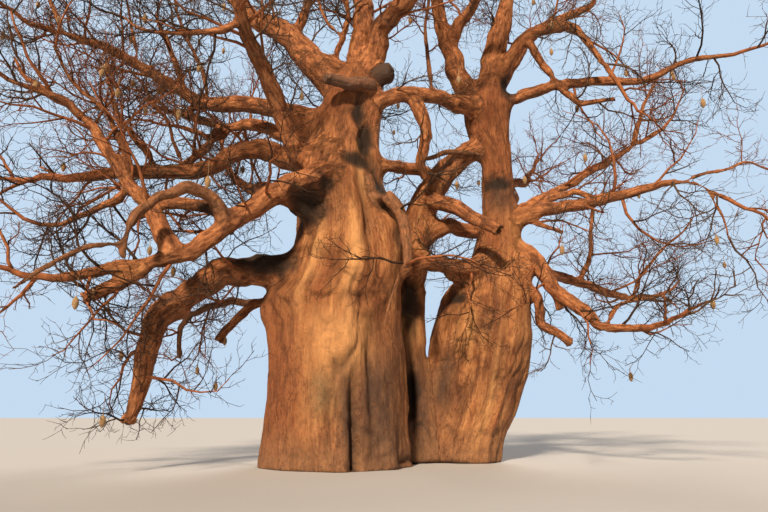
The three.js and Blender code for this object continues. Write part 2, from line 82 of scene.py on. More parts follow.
# The stems. Each row gives a height, how far the middle lies to the right and to the back, and the
# radius. Folds are waves round the stem: how many, how deep, where the first lies and how they turn.
STEMS = {
    "stem_left": {
        "level": True,
        "rows": [
            (0, 0, 0, 2.4), (0.8, -0.02, 0, 2.3), (2.2, -0.07, 0, 2.25), (4.2, -0.14, 0, 2.17),
            (5.2, -0.14, 0, 2.2), (5.9, 0.12, 0, 1.92), (7.3, 0.16, 0, 1.63), (9.1, 0.05, 0, 1.46),
            (11, 0.12, 0, 1.24), (12.4, 0.37, 0.05, 1.02), (13.2, 0.45, 0.1, 0.86),
            (13.8, 0.5, 0.1, 0.5),
        ],
        "folds": [(5, 0.03, 40, 6), (9, 0.02, 10, -9)],
    },
    "stem_right": {
        "level": True,
        "rows": [
            (0, 4.1, 2, 1.4), (0.7, 4.2, 2, 1.38), (1.7, 4.5, 2, 1.55), (3, 4.75, 2, 1.76),
            (4.2, 4.93, 2, 1.79), (5.4, 5.12, 2, 1.66), (6.15, 5.34, 2, 1.42), (6.75, 5.6, 2, 1.04),
            (7.9, 5.75, 2, 0.84), (9, 5.84, 2, 0.67), (10.8, 5.82, 2, 0.58), (11.9, 5.62, 2, 0.72),
            (13, 5.53, 2, 0.92), (14, 5.68, 2, 0.76), (14.5, 5.75, 2, 0.45),
        ],
        "folds": [(4, 0.025, 70, 8), (7, 0.02, 30, -6)],
    },
    "stem_middle": {
        "level": False,
        "rows": [
            (0, 2.6, 1.5, 1), (1.2, 2.55, 1.5, 0.8), (2.6, 2.45, 1.5, 0.64), (4, 2.35, 1.5, 0.56),
            (5.8, 2.42, 1.5, 0.56), (7.3, 2.6, 1.5, 0.56), (8.5, 2.82, 1.5, 0.55),
            (9.5, 3.2, 1.5, 0.5), (10.3, 3.75, 1.55, 0.46), (10.9, 4.3, 1.68, 0.44),
            (11.4, 4.95, 1.85, 0.42), (11.8, 5.5, 2, 0.4),
        ],
        "folds": [(3, 0.06, 20, 10), (5, 0.03, 60, -12)],
    },
}

# The boughs: what each grows from, how high on a stem or how many runs along a bough, its base and
# tip radius, and its runs of heading, rise and length.
BOUGHS = {
    "bough_fork_left": ("stem_left", 12.3, (0.62, 0.24), [
        (168, 52, 2.5), (160, 48, 2), (152, 38, 2), (154, 50, 2.3)]),
    "bough_fork_middle": ("stem_left", 12.6, (0.56, 0.3), [
        (32, 80, 1.5), (36, 84, 1.5), (102, 76, 1.6), (130, 76, 3)]),
    "bough_fork_right": ("stem_left", 12.4, (0.44, 0.22), [
        (342, 64, 1.8), (300, 62, 1), (312, 26, 0.9), (308, 8, 0.9), (298, 42, 2.3)]),
    "bough_rising": ("stem_left", 8.8, (0.34, 0.16), [
        (222, 32, 2.3), (242, 48, 2.2), (246, 36, 1.4), (256, 32, 0.9), (262, 48, 1.2)]),
    "bough_long": ("stem_left", 11.4, (0.34, 0.09), [
        (180, 16, 3.2), (170, 8, 2.1), (176, 30, 2), (192, 28, 2.1), (206, 8, 1.6),
        (222, -4, 1.2)]),
    "bough_upper_arch": ("stem_left", 10.9, (0.3, 0.15), [
        (164, 14, 2.4), (152, 26, 1.6), (156, 8, 1.4), (154, 24, 2.3)]),
    "bough_arch": ("stem_left", 9.7, (0.4, 0.17), [
        (198, 10, 1.9), (200, 12, 1), (200, -16, 0.9), (192, -36, 1.1), (190, -8, 1.3),
        (188, -4, 1.2), (190, -12, 1.2)]),
    "bough_diagonal": ("stem_left", 9.6, (0.44, 0.13), [
        (250, -18, 1.7), (208, -30, 1.6), (210, -36, 1.1), (206, -42, 1.1), (202, -42, 1.2),
        (192, -20, 1.1), (194, -14, 1.1), (198, -16, 1.1)]),
    "bough_hook": ("bough_diagonal", 3.9, (0.2, 0.045), [
        (236, 54, 0.8), (224, 14, 0.8), (212, -26, 0.8), (214, -40, 0.7), (240, -62, 0.7),
        (220, -72, 0.5), (200, -16, 0.9), (210, -34, 1), (206, -44, 0.9)]),
    "bough_riser": ("bough_diagonal", 5.4, (0.28, 0.14), [
        (180, 60, 0.8), (180, 60, 0.9), (170, 48, 0.9), (174, 52, 1.4), (170, 56, 1),
        (180, 42, 0.8)]),
    "bough_low_left": ("stem_left", 6.2, (0.6, 0.4), [
        (196, -4, 1.8), (196, 0, 1.1), (194, -4, 0.8), (198, -32, 0.8), (202, -40, 1)]),
    "bough_low_left_drop": ("bough_low_left", 5, (0.4, 0.17), [
        (198, -48, 1), (210, -78, 1), (248, -84, 1), (228, -74, 1)]),
    "bough_arc": ("stem_left", 5.1, (0.16, 0.09), [
        (160, 4, 3), (164, 4, 1.1), (168, -16, 1.3), (158, -40, 0.7), (114, -84, 1.1)]),
    "stub_front": ("stem_left", 12.9, (0.25, 0.16), [
        (302, -12, 1.1), (216, -14, 1), (214, -4, 0.8)]),
    "stub_knob": ("stem_left", 12.9, (0.3, 0.36), [(338, 22, 1.1), (350, 10, 0.5)]),
    "bough_link": ("stem_left", 12, (0.27, 0.26), [
        (336, 12, 1.3), (350, 14, 0.7), (24, 10, 1), (34, 8, 0.7), (48, 0, 1.1)]),
    "bough_elbow": ("stem_left", 8.9, (0.27, 0.1), [
        (318, -14, 2), (318, -48, 1.1), (300, -74, 0.9), (284, -82, 0.7), (204, -40, 0.3)]),
    "stub_broken": ("stem_middle", 9.2, (0.3, 0.22), [
        (278, -14, 0.5), (314, -26, 1), (334, -32, 1), (334, -32, 1.1)]),
    "bough_twin_left": ("stem_right", 12.8, (0.46, 0.19), [
        (196, 52, 1.8), (218, 68, 0.9), (208, 68, 1.1), (216, 76, 1.4), (228, 80, 1.9)]),
    "bough_twin_right": ("bough_twin_left", 2.5, (0.24, 0.14), [
        (308, 48, 0.9), (308, 28, 0.9), (290, 26, 1.8)]),
    "bough_top": ("stem_right", 13.6, (0.58, 0.2), [
        (0, 82, 1.7), (0, 74, 1.2), (16, 76, 1.5), (26, 76, 2.1)]),
    "bough_top_right": ("stem_right", 13.4, (0.36, 0.15), [
        (22, 60, 2.7), (34, 52, 1.7), (32, 38, 2.4), (30, 34, 2.4)]),
    "bough_top_fall": ("stem_right", 13.9, (0.28, 0.09), [
        (330, 52, 2.3), (332, 14, 0.8), (322, -12, 1.1), (320, -52, 0.9), (316, -64, 2.1)]),
    "bough_right_high": ("stem_right", 13.1, (0.27, 0.07), [
        (342, 18, 1.3), (340, 8, 1.5), (340, -4, 1.5), (336, -12, 1.5), (330, 12, 1.6),
        (328, -8, 1.4)]),
    "bough_right_rising": ("stem_right", 8.5, (0.21, 0.08), [
        (350, 30, 1.3), (26, 30, 3.2), (26, 32, 3.2), (20, 32, 2.4)]),
    "bough_right_level": ("stem_right", 8.3, (0.3, 0.07), [
        (328, 16, 1.4), (332, 2, 1.3), (326, 2, 1), (326, 2, 1.1), (326, 6, 0.7), (312, -6, 1.2),
        (314, -38, 1.4)]),
    "bough_low_right": ("stem_right", 7.8, (0.36, 0.11), [
        (328, -32, 1.4), (312, -52, 1), (296, -52, 0.9), (312, -38, 1.4), (292, -38, 0.8),
        (312, -6, 1.5)]),
    "bough_behind_right": ("stem_right", 7.1, (0.26, 0.12), [
        (32, -4, 1.9), (28, -8, 2.5), (30, -8, 2.3), (26, 4, 1.8)]),
    "bough_drop_right": ("stem_right", 6.3, (0.21, 0.14), [
        (328, -16, 1.4), (2, -36, 0.4), (314, -76, 0.5), (316, -88, 0.6), (348, -30, 0.6),
        (350, -40, 0.6)]),
    "bough_shelf": ("stem_right", 6.7, (0.3, 0.22), [
        (238, -8, 1.6), (204, -2, 1.1), (208, 2, 0.9), (212, -18, 0.6)]),
    "bough_back_low": ("stem_left", 7.6, (0.44, 0.18), [
        (74, 10, 2.8), (58, 20, 2.2), (82, 4, 2.2), (66, 20, 1.8)]),
    "bough_back_left": ("stem_left", 8.6, (0.42, 0.16), [
        (128, 12, 2.6), (142, 30, 2.4), (120, 16, 2.4), (132, 34, 2.2)]),
    "bough_back_high": ("stem_left", 11.2, (0.38, 0.15), [
        (82, 28, 2.4), (98, 42, 2.4), (78, 22, 2.4), (90, 36, 2)]),
    "bough_back_right": ("stem_right", 9.4, (0.34, 0.14), [
        (66, 20, 2.4), (82, 34, 2.4), (58, 18, 2.4), (70, 32, 1.8)]),
}

# Lesser limbs that the photograph shows, in the same form, made only here.
LIMBS = {
    "limb_hanging": ("bough_elbow", 4.9, (0.04, 0.022), [
        (217, -70, 1.7), (250, -88, 0.3), (24, -58, 0.9), (60, -30, 0.3)]),
    "limb_link_drop": ("bough_link", 2.4, (0.23, 0.16), [
        (0, -68, 0.7), (26, -70, 0.7), (128, -80, 0.7), (124, -64, 0.5), (60, -50, 0.6)]),
    "limb_bridge": ("stem_left", 10.2, (0.23, 0.21), [
        (348, -12, 1.5), (40, 10, 0.8), (48, 10, 1), (44, 0, 0.8), (30, -8, 0.7)]),
    "limb_web": ("stem_middle", 7.7, (0.31, 0.26), [(350, 24, 1.2), (18, -8, 0.6), (26, 2, 0.9)]),
    "limb_snag": ("stem_right", 11.2, (0.13, 0.07), [
        (210, -8, 2), (212, -22, 0.8), (204, -22, 0.9)]),
    "limb_rising_up": ("bough_right_rising", 3.1, (0.11, 0.067), [
        (12, 70, 1.3), (22, 64, 1.2), (18, 58, 1.2)]),
    "limb_high_stub": ("bough_right_high", 2, (0.13, 0.07), [
        (330, -52, 1), (340, -16, 0.6), (338, -2, 0.8)]),
    "limb_top_drop": ("bough_top_fall", 1.2, (0.16, 0.13), [(0, -64, 1.2), (346, -64, 1)]),
    "limb_behind_up": ("bough_behind_right", 1.9, (0.12, 0.061), [
        (346, 60, 0.8), (330, 70, 0.6), (288, 82, 0.8), (306, 82, 0.9)]),
    "limb_far_rise": ("bough_behind_right", 3.3, (0.08, 0.054), [
        (0, 64, 1), (0, 48, 0.7), (10, 48, 0.9), (8, 40, 0.8)]),
    "limb_low_rise": ("bough_low_right", 5.1, (0.08, 0.05), [
        (38, 52, 0.8), (40, 22, 0.8), (34, 12, 1)]),
    "limb_level_arch": ("bough_right_level", 1, (0.13, 0.11), [
        (18, 40, 0.9), (358, 20, 0.7), (348, 2, 0.4), (324, -32, 0.6)]),
    "limb_level_spur": ("stem_right", 8.2, (0.15, 0.07), [
        (328, 6, 1.2), (328, -20, 0.5), (332, -26, 0.8)]),
    "limb_low_stub": ("bough_low_right", 2.6, (0.15, 0.14), [(332, -66, 0.5), (356, -82, 0.4)]),
    "limb_rising_side": ("bough_rising", 3.9, (0.12, 0.045), [
        (194, -40, 0.6), (178, -12, 0.4), (172, 2, 0.8), (174, 6, 0.8), (172, 16, 0.7),
        (170, 38, 0.8)]),
    "limb_fork_up": ("bough_fork_left", 1.7, (0.21, 0.12), [
        (334, 58, 0.9), (336, 74, 0.8), (242, 84, 2.1)]),
    "limb_crotch": ("stem_left", 13, (0.14, 0.08), [
        (178, 62, 1.4), (332, 72, 0.8), (2, 78, 0.8), (222, 82, 1), (256, 86, 1.4)]),
    "limb_crotch_fork": ("limb_crotch", 2.1, (0.07, 0.056), [
        (196, 30, 0.4), (196, 50, 0.6), (202, 68, 0.7), (216, 74, 1.2)]),
    "limb_dark_up": ("bough_link", 3.3, (0.09, 0.056), [
        (226, 84, 1.2), (218, 82, 1.3), (330, 82, 1.4), (0, 84, 1.5)]),
    "limb_arch_thin": ("bough_upper_arch", 2.9, (0.14, 0.066), [
        (230, -64, 0.6), (194, -14, 0.4), (194, 20, 0.4), (192, 18, 0.6), (190, 12, 0.5)]),
    "limb_crossing": ("bough_upper_arch", 3.1, (0.17, 0.14), [
        (252, -56, 1.5), (254, -40, 0.8), (258, -44, 1.1)]),
    "limb_diagonal_side": ("bough_diagonal", 3.8, (0.21, 0.12), [
        (180, 40, 0.5), (192, 18, 0.5), (190, 4, 0.6), (192, -10, 0.5), (180, -26, 0.5),
        (198, -46, 0.4)]),
    "limb_hook_end": ("bough_hook", 5.6, (0.1, 0.09), [(180, -74, 0.3), (180, -84, 0.3)]),
    "limb_diagonal_stub": ("bough_diagonal", 6.1, (0.21, 0.16), [
        (180, -42, 0.6), (190, -32, 0.6), (190, -28, 0.7)]),
    "limb_riser_low": ("bough_riser", 3.1, (0.13, 0.07), [
        (152, -46, 0.6), (168, -18, 0.5), (180, -26, 0.6), (180, -26, 0.7), (180, -2, 0.7)]),
    "limb_riser_dark": ("bough_riser", 3, (0.12, 0.055), [
        (146, 66, 0.9), (164, 66, 0.8), (180, 62, 0.8), (180, 50, 0.7), (180, 38, 0.7),
        (180, 50, 0.8), (180, 62, 1.1)]),
    "limb_riser_left": ("bough_riser", 5.7, (0.14, 0.07), [
        (218, 36, 0.6), (204, 18, 0.5), (202, 10, 0.6), (208, 12, 0.6)]),
    "limb_arch_pale": ("bough_arch", 5.2, (0.1, 0.07), [
        (212, 58, 0.7), (194, 48, 0.6), (180, 52, 0.7), (182, 62, 0.7), (148, 72, 0.7)]),
    "limb_arch_dark": ("bough_arch", 4.5, (0.07, 0.042), [
        (160, 62, 1.2), (158, 70, 0.9), (180, 48, 0.8), (182, 48, 0.6)]),
    "limb_long_dark": ("bough_long", 2, (0.09, 0.059), [
        (148, 74, 1.4), (168, 64, 1.1), (180, 62, 0.8), (180, 72, 1.2), (180, 74, 1.3)]),
    "limb_long_up": ("bough_long", 2.5, (0.13, 0.09), [
        (216, 66, 0.8), (200, 68, 0.9), (178, 70, 0.7)]),
    "limb_long_rise": ("bough_long", 5.1, (0.09, 0.056), [
        (166, 66, 0.9), (166, 62, 1), (164, 70, 1)]),
    "limb_long_thin": ("bough_long", 3.5, (0.06, 0.049), [
        (180, 76, 1), (160, 72, 1), (182, 76, 0.9), (162, 72, 1.1)]),
    "limb_dark_stub": ("stem_left", 5.2, (0.15, 0.14), [
        (180, 0, 2.4), (212, -38, 0.9), (194, -44, 0.7), (180, -66, 0.4)]),
    "limb_long_spur": ("bough_long", 2.1, (0.16, 0.13), [(194, -38, 0.5), (184, -78, 0.4)]),
    "limb_level_up": ("bough_right_level", 5.9, (0.06, 0.042), [
        (16, 24, 0.8), (12, 14, 1), (8, 22, 0.8), (16, -10, 0.7)]),
    "limb_level_drop": ("bough_right_level", 6.4, (0.06, 0.037), [
        (310, -66, 0.7), (330, -74, 0.6), (276, -80, 0.6)]),
}
ALL_LIMBS = {**BOUGHS, **LIMBS}
COLLAR_SWELL = 0.35  # how much wider a limb starts, and how fast that fades
COLLAR_LENGTH = 0.9

# How far the mass of twigs at each bough's tip reaches, and which masses bear pods of their own.
MASS_REACH = {
    "bough_fork_left": 6, "bough_fork_middle": 5.6, "bough_fork_right": 6.4, "bough_rising": 6.4,
    "bough_long": 4.6, "bough_upper_arch": 5.2, "bough_arch": 5.2, "bough_diagonal": 4.2,
    "bough_riser": 5.6, "bough_twin_left": 5.4, "bough_twin_right": 5.8, "bough_top": 5.2,
    "bough_top_right": 5.8, "bough_top_fall": 4.2, "bough_right_high": 4.4,
    "bough_right_rising": 4.2, "bough_right_level": 4, "bough_low_right": 3.2,
    "bough_behind_right": 3.8, "bough_back_low": 6, "bough_back_left": 6.4, "bough_back_high": 6.4,
    "bough_back_right": 6,
}
MASS_PODS = {
    "bough_fork_right": 1, "bough_long": 2, "bough_top_right": 2, "bough_right_high": 3,
    "bough_right_rising": 2,
}

# Limbs with no shoots on them.
BARE_LIMBS = {
    "stub_front", "stub_knob", "stub_broken", "bough_hook", "limb_web", "limb_dark_stub",
    "limb_low_stub", "limb_hook_end", "limb_snag", "limb_hanging",
}
# Limbs that end in other wood, and limbs that end blunt, with shoots along them but none at the tip.
JOINED_LIMBS = {"bough_link", "limb_bridge", "limb_link_drop", "bough_elbow", "bough_shelf"}
BLUNT_LIMBS = {
    "bough_arc", "bough_drop_right", "limb_high_stub", "limb_long_spur", "limb_crossing",
    "limb_top_drop", "limb_diagonal_stub", "limb_diagonal_side", "limb_level_spur",
}
# Limbs with a round end, those that are rotted out at the end, and all that are broken off there.
ROUND_LIMBS = {"stub_knob"}
HOLLOW_ENDS = {"stub_broken", "limb_dark_stub", "bough_low_left_drop"}
BROKEN_LIMBS = HOLLOW_ENDS | BLUNT_LIMBS | {"stub_front"}
# Limbs whose bark is weathered grey, and limbs painted dark all over with shade, with how dark.
WEATHERED_LIMBS = {"bough_hook", "limb_hook_end", "bough_arc", "limb_snag", "bough_elbow", "limb_hanging"}
WEATHERED_SHARE = 0.75
SHADED_LIMBS = {
    "stub_knob": 1.0, "bough_arc": 0.65, "limb_dark_up": 0.5, "limb_riser_dark": 0.5,
    "limb_arch_dark": 0.5, "limb_long_dark": 0.5,
}

# The limbs that share a skin.
BOUGH_GROUPS = {
    "boughs_top": [
        "bough_fork_left", "bough_fork_middle", "bough_fork_right", "bough_rising",
        "limb_rising_side", "limb_fork_up", "limb_crotch", "limb_crotch_fork",
    ],
    "boughs_left": [
        "bough_long", "bough_upper_arch", "bough_arch", "limb_arch_thin", "limb_crossing",
        "limb_long_spur", "limb_long_dark", "limb_long_up", "limb_long_rise", "limb_long_thin",
        "limb_arch_pale", "limb_arch_dark",
    ],
    "boughs_low": [
        "bough_diagonal", "bough_hook", "bough_riser", "bough_low_left", "bough_low_left_drop",
        "bough_arc", "limb_diagonal_side", "limb_diagonal_stub", "limb_hook_end", "limb_riser_low",
        "limb_riser_dark", "limb_riser_left", "limb_dark_stub",
    ],
    "boughs_middle": [
        "bough_link", "bough_elbow", "bough_shelf", "limb_bridge", "limb_link_drop", "limb_web",
        "limb_hanging", "limb_dark_up", "limb_snag", "bough_twin_left", "bough_twin_right",
    ],
    "boughs_right": [
        "bough_top", "bough_top_right", "bough_top_fall", "bough_right_high", "limb_high_stub",
        "limb_top_drop", "bough_right_level", "limb_level_up", "limb_level_drop",
        "limb_level_arch", "limb_level_spur",
    ],
    "boughs_far": [
        "bough_right_rising", "limb_rising_up", "bough_low_right", "limb_low_stub",
        "limb_low_rise", "bough_behind_right", "limb_behind_up", "limb_far_rise",
        "bough_drop_right",
    ],
    "boughs_back": ["bough_back_low", "bough_back_left", "bough_back_high", "bough_back_right"],
}
STUB_GROUPS = {"stubs_grey": ["stub_front", "stub_knob"], "stub_brown": ["stub_broken"]}

# Wood that fills the corner between a stem and a bough: the stem, a height on it and a radius
# there, then the bough, how many runs along it and a radius there.
WEBS = [
    ("stem_left", 11.0, 0.85, "bough_diagonal", 1.1, 0.44),
    ("stem_left", 7.5, 0.9, "bough_diagonal", 2.2, 0.16),
    ("stem_left", 8.5, 0.8, "bough_diagonal", 1.8, 0.28),
    ("stem_left", 7.3, 0.8, "bough_low_left", 1.25, 0.4),
    ("stem_left", 4.3, 0.9, "bough_low_left", 1.2, 0.35),
    ("stem_left", 12.0, 0.6, "bough_rising", 0.9, 0.2),
    ("stem_left", 13.2, 0.5, "bough_fork_left", 1.0, 0.5),
    ("stem_left", 10.6, 0.6, "bough_elbow", 0.8, 0.24),
    ("stem_middle", 6.1, 0.4, "bough_shelf", 3.4, 0.3),
    ("stem_middle", 7.4, 0.35, "bough_shelf", 2.9, 0.26),
    ("stem_right", 7.3, 0.6, "bough_shelf", 1.1, 0.34),
    ("stem_right", 5.6, 0.8, "bough_low_right", 1.3, 0.3),
    ("stem_right", 12.3, 0.5, "bough_twin_left", 0.9, 0.34),
    ("stem_right", 12.2, 0.5, "bough_right_high", 0.8, 0.2),
    ("stem_right", 13.1, 0.5, "bough_link", 4.5, 0.3),
    ("stem_right", 6.2, 0.7, "bough_shelf", 2.2, 0.36),
    ("stem_left", 5.7, 0.8, "bough_shelf", 3.8, 0.28),
]

# Marks on the stems: height, heading of the side it is on, half width, half height and how far it
# stands out, or in where that is negative. The narrow ones that go in are painted
# dark inside with shade.
MARKS = {
    "stem_left": [
        (0.9, 288, 0.15, 1.9, -0.34), (1.4, 268, 0.1, 1.0, -0.12), (2.4, 303, 0.13, 1.5, -0.14),
        (0.5, 318, 0.35, 0.9, 0.16), (2.3, 192, 0.9, 1.9, -0.16), (4.9, 190, 0.5, 0.6, 0.2),
        (3.6, 276, 0.6, 0.7, 0.12), (6.3, 247, 0.16, 1.1, 0.14), (6.9, 286, 0.22, 2.2, 0.1),
        (6.2, 268, 0.12, 1.9, -0.08), (8.2, 300, 0.14, 2.0, -0.1), (8.1, 232, 0.24, 0.7, -0.3),
        (9.3, 325, 0.22, 0.55, -0.25), (10.2, 268, 0.16, 1.8, -0.1), (7.4, 322, 0.3, 0.35, 0.16),
        (7.7, 338, 0.75, 1.2, 0.42), (6.6, 325, 0.5, 0.5, 0.15), (12.2, 250, 0.3, 0.6, 0.12),
        (6.1, 270, 1.6, 0.8, 0.14), (5.1, 270, 1.8, 0.5, -0.05),
    ],
    "stem_right": [
        (2.2, 250, 0.24, 0.3, -0.1), (4.6, 256, 0.1, 0.7, 0.09), (4.4, 232, 0.16, 1.6, -0.08),
        (5.6, 262, 0.2, 1.2, 0.1), (3.4, 292, 0.12, 2.0, -0.06), (1.0, 300, 0.12, 1.6, 0.1),
        (0.6, 215, 0.4, 1.0, 0.18), (12.4, 212, 0.55, 0.8, 0.24),
    ],
    "stem_middle": [
        (2.3, 262, 0.24, 0.85, -0.34), (0.6, 280, 0.2, 0.7, -0.2), (4.6, 275, 0.16, 0.9, 0.1),
    ],
}
NARROW = 0.25  # a mark with a smaller half width is narrow

# Tints on the stems: height, heading, half width, half height and which colour lies there. Grey is
# partly stains and partly painted shade.
TINTS = {
    "stem_left": [
        (1.7, 308, 1.1, 2.3, "grey"), (1.8, 282, 0.35, 1.6, "grey"),
        # The grey at 8.2 m is a painted shadow under the diagonal bough, and that at 9.1 m painted shade
        # beside the neck.
        (2.2, 264, 0.42, 0.75, "lichen"), (8.2, 236, 0.55, 0.8, "grey"),
        (9.1, 322, 0.35, 0.7, "grey"), (3.7, 277, 0.9, 0.9, "pale"), (6.2, 246, 0.15, 1.5, "pale"),
        (6.3, 283, 0.16, 1.6, "pale"), (2.6, 216, 1.4, 3.0, "red"), (5.6, 262, 0.3, 1.2, "red"),
        (5.2, 296, 0.25, 1.2, "red"), (9.6, 300, 0.12, 1.3, "pale"), (12.2, 250, 0.9, 1.0, "red"),
        (4.3, 314, 0.5, 1.4, "red"),
    ],
    "stem_right": [
        (2.6, 222, 0.55, 1.3, "grey"), (10.4, 262, 0.9, 1.7, "red"), (12.8, 262, 1.1, 1.2, "red"),
        (2.4, 285, 0.12, 1.8, "pale"), (4.4, 250, 0.25, 0.7, "pale"), (7.6, 250, 0.5, 1.0, "red"),
        # The grey at 9.4 m is a painted shadow of a branch.
        (9.4, 262, 0.7, 0.7, "grey"),
    ],
    "stem_middle": [
        (2.0, 280, 1.0, 2.2, "grey"), (4.8, 275, 0.4, 0.9, "pale"),
    ],
}
TINT_NAMES = ["grey", "lichen", "pale", "red"]

# Painted shade in hollows under the boughs, and painted shadows on the stems, all sunk a little:
# where the middle lies, how far it reaches each way and how deep it is.
SHADED_HOLLOWS = [
    ((-0.95, -1.55, 8.0), (0.72, 0.9, 0.85), 0.22),
    ((-1.5, -1.2, 7.7), (0.5, 0.9, 0.6), 0.15),
    ((-0.45, -1.5, 8.75), (0.4, 0.7, 0.45), 0.1),
    ((0.8, -1.3, 9.78), (0.85, 0.6, 0.36), 0.08),
    ((0.92, -1.0, 10.55), (0.36, 0.6, 0.85), 0.14),
    ((0.68, -1.1, 11.6), (0.3, 0.6, 0.75), 0.16),
    ((-2.3, -1.1, 6.3), (1.25, 0.8, 0.6), 0.04),
    ((-3.75, -2.9, 7.35), (0.35, 0.5, 0.35), 0.03),
    ((1.45, -1.0, 8.8), (0.27, 0.8, 0.8), 0.1),
    ((1.7, -1.4, 7.2), (0.2, 0.8, 0.65), 0.1),
    ((2.4, 0.9, 2.3), (0.4, 0.6, 0.85), 0.1),
    ((3.0, 1.2, 7.1), (0.35, 0.5, 0.4), 0.05),
    ((5.69, 1.4, 9.88), (0.7, 0.6, 0.3), 0.03),
    ((6.34, 1.5, 13.9), (0.34, 0.8, 0.65), 0.1),
    ((2.42, 1.0, 5.4), (0.42, 0.6, 1.15), 0.05),
    ((4.0, 0.8, 5.45), (0.5, 0.6, 0.25), 0.04),
    ((5.2, 1.3, 6.35), (0.5, 0.6, 0.2), 0.06),
]
SHADE_SEED = 611

# The skins: how far apart the corners of their tubes lie, how fine they are joined, how often they
# are smoothed, and how far a limb strays from its even course, as a share of its radius.
STEM_SPACING = 0.1
ROOT_SPACING = 0.08
BOUGH_SPACING = 0.07
STUB_SPACING = 0.05
TUBE_SIDES = (10, 96)
MIN_RINGS = 4
STEM_VOXEL = 0.077
BOUGH_VOXEL = 0.045
STUB_VOXEL = 0.03
STEM_SMOOTHING = 4
BOUGH_SMOOTHING = 2
STUB_SMOOTHING = 1
THIN_LIMB = 0.18
THIN_WANDER = 0.4
THICK_WANDER = 0.16
STUB_WANDER = 0.25
ROUNDED_SHARE = 0.95  # how far a round end closes
SUNK_SHARE = 0.45  # how much thinner a bough's own skin starts, inside its stem
SUNK_LENGTH = 1.1
ROOT_LENGTH = 1.5  # how far a bough's root shows in the stem's own skin
ROOT_WIDEST = 0.85  # of its stem's radius
ROOT_SWELL = (1.25, 0.8)
ROOT_FADE = 1.6  # how far along a bough its root takes on the colour of a bough
JOINT_STEPS = 9  # how many corners a joint reaches out from where two limbs meet
JOINT_ROUNDS = 45  # how often a joint is softened, and how strongly
JOINT_SOFTNESS = 0.8
RELIEF_ROUNDS = 8  # how often the relief and the colours are made even there
TONE_ROUNDS = 12

# The relief of the bark.
CRAG_SIZE = 0.2
BEND_SEEDS = (31, 32, 33)
SEED_SHIFTS = 97  # how far a limb's grain may be shifted, so that no two limbs look alike
RAGGED_HEIGHT = 0.45  # of a broken end, as a share of its radius
CUP_DEPTH = 0.8  # of a rotted end
# how much of the painted shade in the creases goes into the colour
CREASE_SHADE_SHARE = 0.8
FLAT_FOOT = 0.5  # up to this height the stems' relief is held level
WORN_FOOT = 1.5  # and up to this height their bark is worn
REDDER_FROM = 7.5  # where the stems take on the colour of the boughs, and how fast
REDDER_OVER = 4.5
REDDER_MOST = 0.9
# painted shade on bark that faces down
UNDERSIDE_SHADE = 0.75

# The twig rule. These three levels are the source's. The finer ones grow only here.
COARSE_LEVELS = [(3, 4), (2, 3), (1, 0)]  # steps, and side twigs, of each level
TWIG_STEM_SHARE = 0.58  # a leader's length, as a share of its mass's reach
TWIG_BASE_SHARE = 0.92  # its base, as a share of its bough's tip
TWIG_SPACE_MIDDLE = 0.5  # the ball that a mass stays in, in shares of its reach
TWIG_SPACE_RADIUS = 0.62
TWIG_CHILD_PLACES = (0.28, 0.97)  # where along a twig the first and the last side twig grow
TWIG_CHILD_LENGTHS = (0.82, 0.48)  # their lengths towards its foot and its tip, and what chance adds
TWIG_CHANCE = (0.85, 1.15)
TWIG_TAPER = 0.45  # a twig's tip as a share of its base, and a side twig's base of the twig there
TWIG_THINNING = 0.62
TWIG_TURN = (34, 62)  # degrees that a side twig turns away, and that the next lies further round
TWIG_SIDE_STEP = (140, 220)
TWIG_CROOK = (7, 17)  # degrees that a twig bends at each step, and how strongly it is drawn up
TWIG_LIFT = 0.14
TWIG_CLEARANCE = 0.03  # between a twig and other wood
MIN_HEIGHT = 1.2
END_TWIG_RADIUS = 0.026
FIRST_SEED = 1009
WOOD_STEPS = 3  # straight lengths that stand for a twig or one run of a bough, and for a stem
STEM_WOOD_STEPS = 30
FOLD_ROOM = 1.08  # how much wider a stem counts, for its folds
LEADER_FOOT = 0.3  # how far back into its bough a mass's leader starts
LEADER_TIP = 0.3  # the tip of a leader and of a side twig, as shares of the base, and the least
SIDE_TIP = 0.4
THINNEST_TIP = 0.008
BENDS = 3  # how many parts a coarse twig is bent into between its own corners, and how far
BEND_SWAY = 0.055

# Shoots along the limbs, and the branches on them.
SHOOT_SPACING_LEFT = 0.45  # along a limb, on the side where the crown is dense
SHOOT_SPACING_RIGHT = 0.85
DENSE_FROM = -2.5  # how far to the right the dense side ends, and where the open one begins
OPEN_FROM = 5.0
SHOOT_FIRST = 0.28  # where along a limb the first and the last one grow
SHOOT_LAST = 0.98
SHOOT_TURN = (40, 76)
SHOOT_SIDE_STEP = (90, 220)
SHOOT_RISE = 0.2
SHOOT_LENGTH = (1.7, 4.2)
SHOOT_THIN = 0.62  # how long a shoot is on the thinnest limb, and how much a radius adds
SHOOT_THICK = 2
SHOOT_MOST = 0.42  # a shoot's base, as a share of the limb's radius at most
SHOOT_BASE = 0.018  # else so thick, and so much more for each metre
SHOOT_BASE_GROWTH = 0.011
SHOOT_STEPS = 6
SHOOT_LIFT = 0.07
SHOOT_CROOK = (9, 30)
SHOOT_TIP_RADIUS = 0.01
SHOOT_SEEDS = 31
END_SHOOT_LENGTH = (1.8, 3.0)
END_SHOOT_BASE = 0.94
END_SHOOT_FOOT = 0.1
BRANCHES = 5
BRANCH_PLACES = (0.25, 0.92)
BRANCH_LENGTHS = (0.6, 0.35)
BRANCH_BASE = 0.7
BRANCH_TIP = 0.9
BRANCH_STEPS = 4
BRANCH_LIFT = 0.05
LEADER_RADIUS = 0.05  # a twig with a thicker base has the bark of a leader

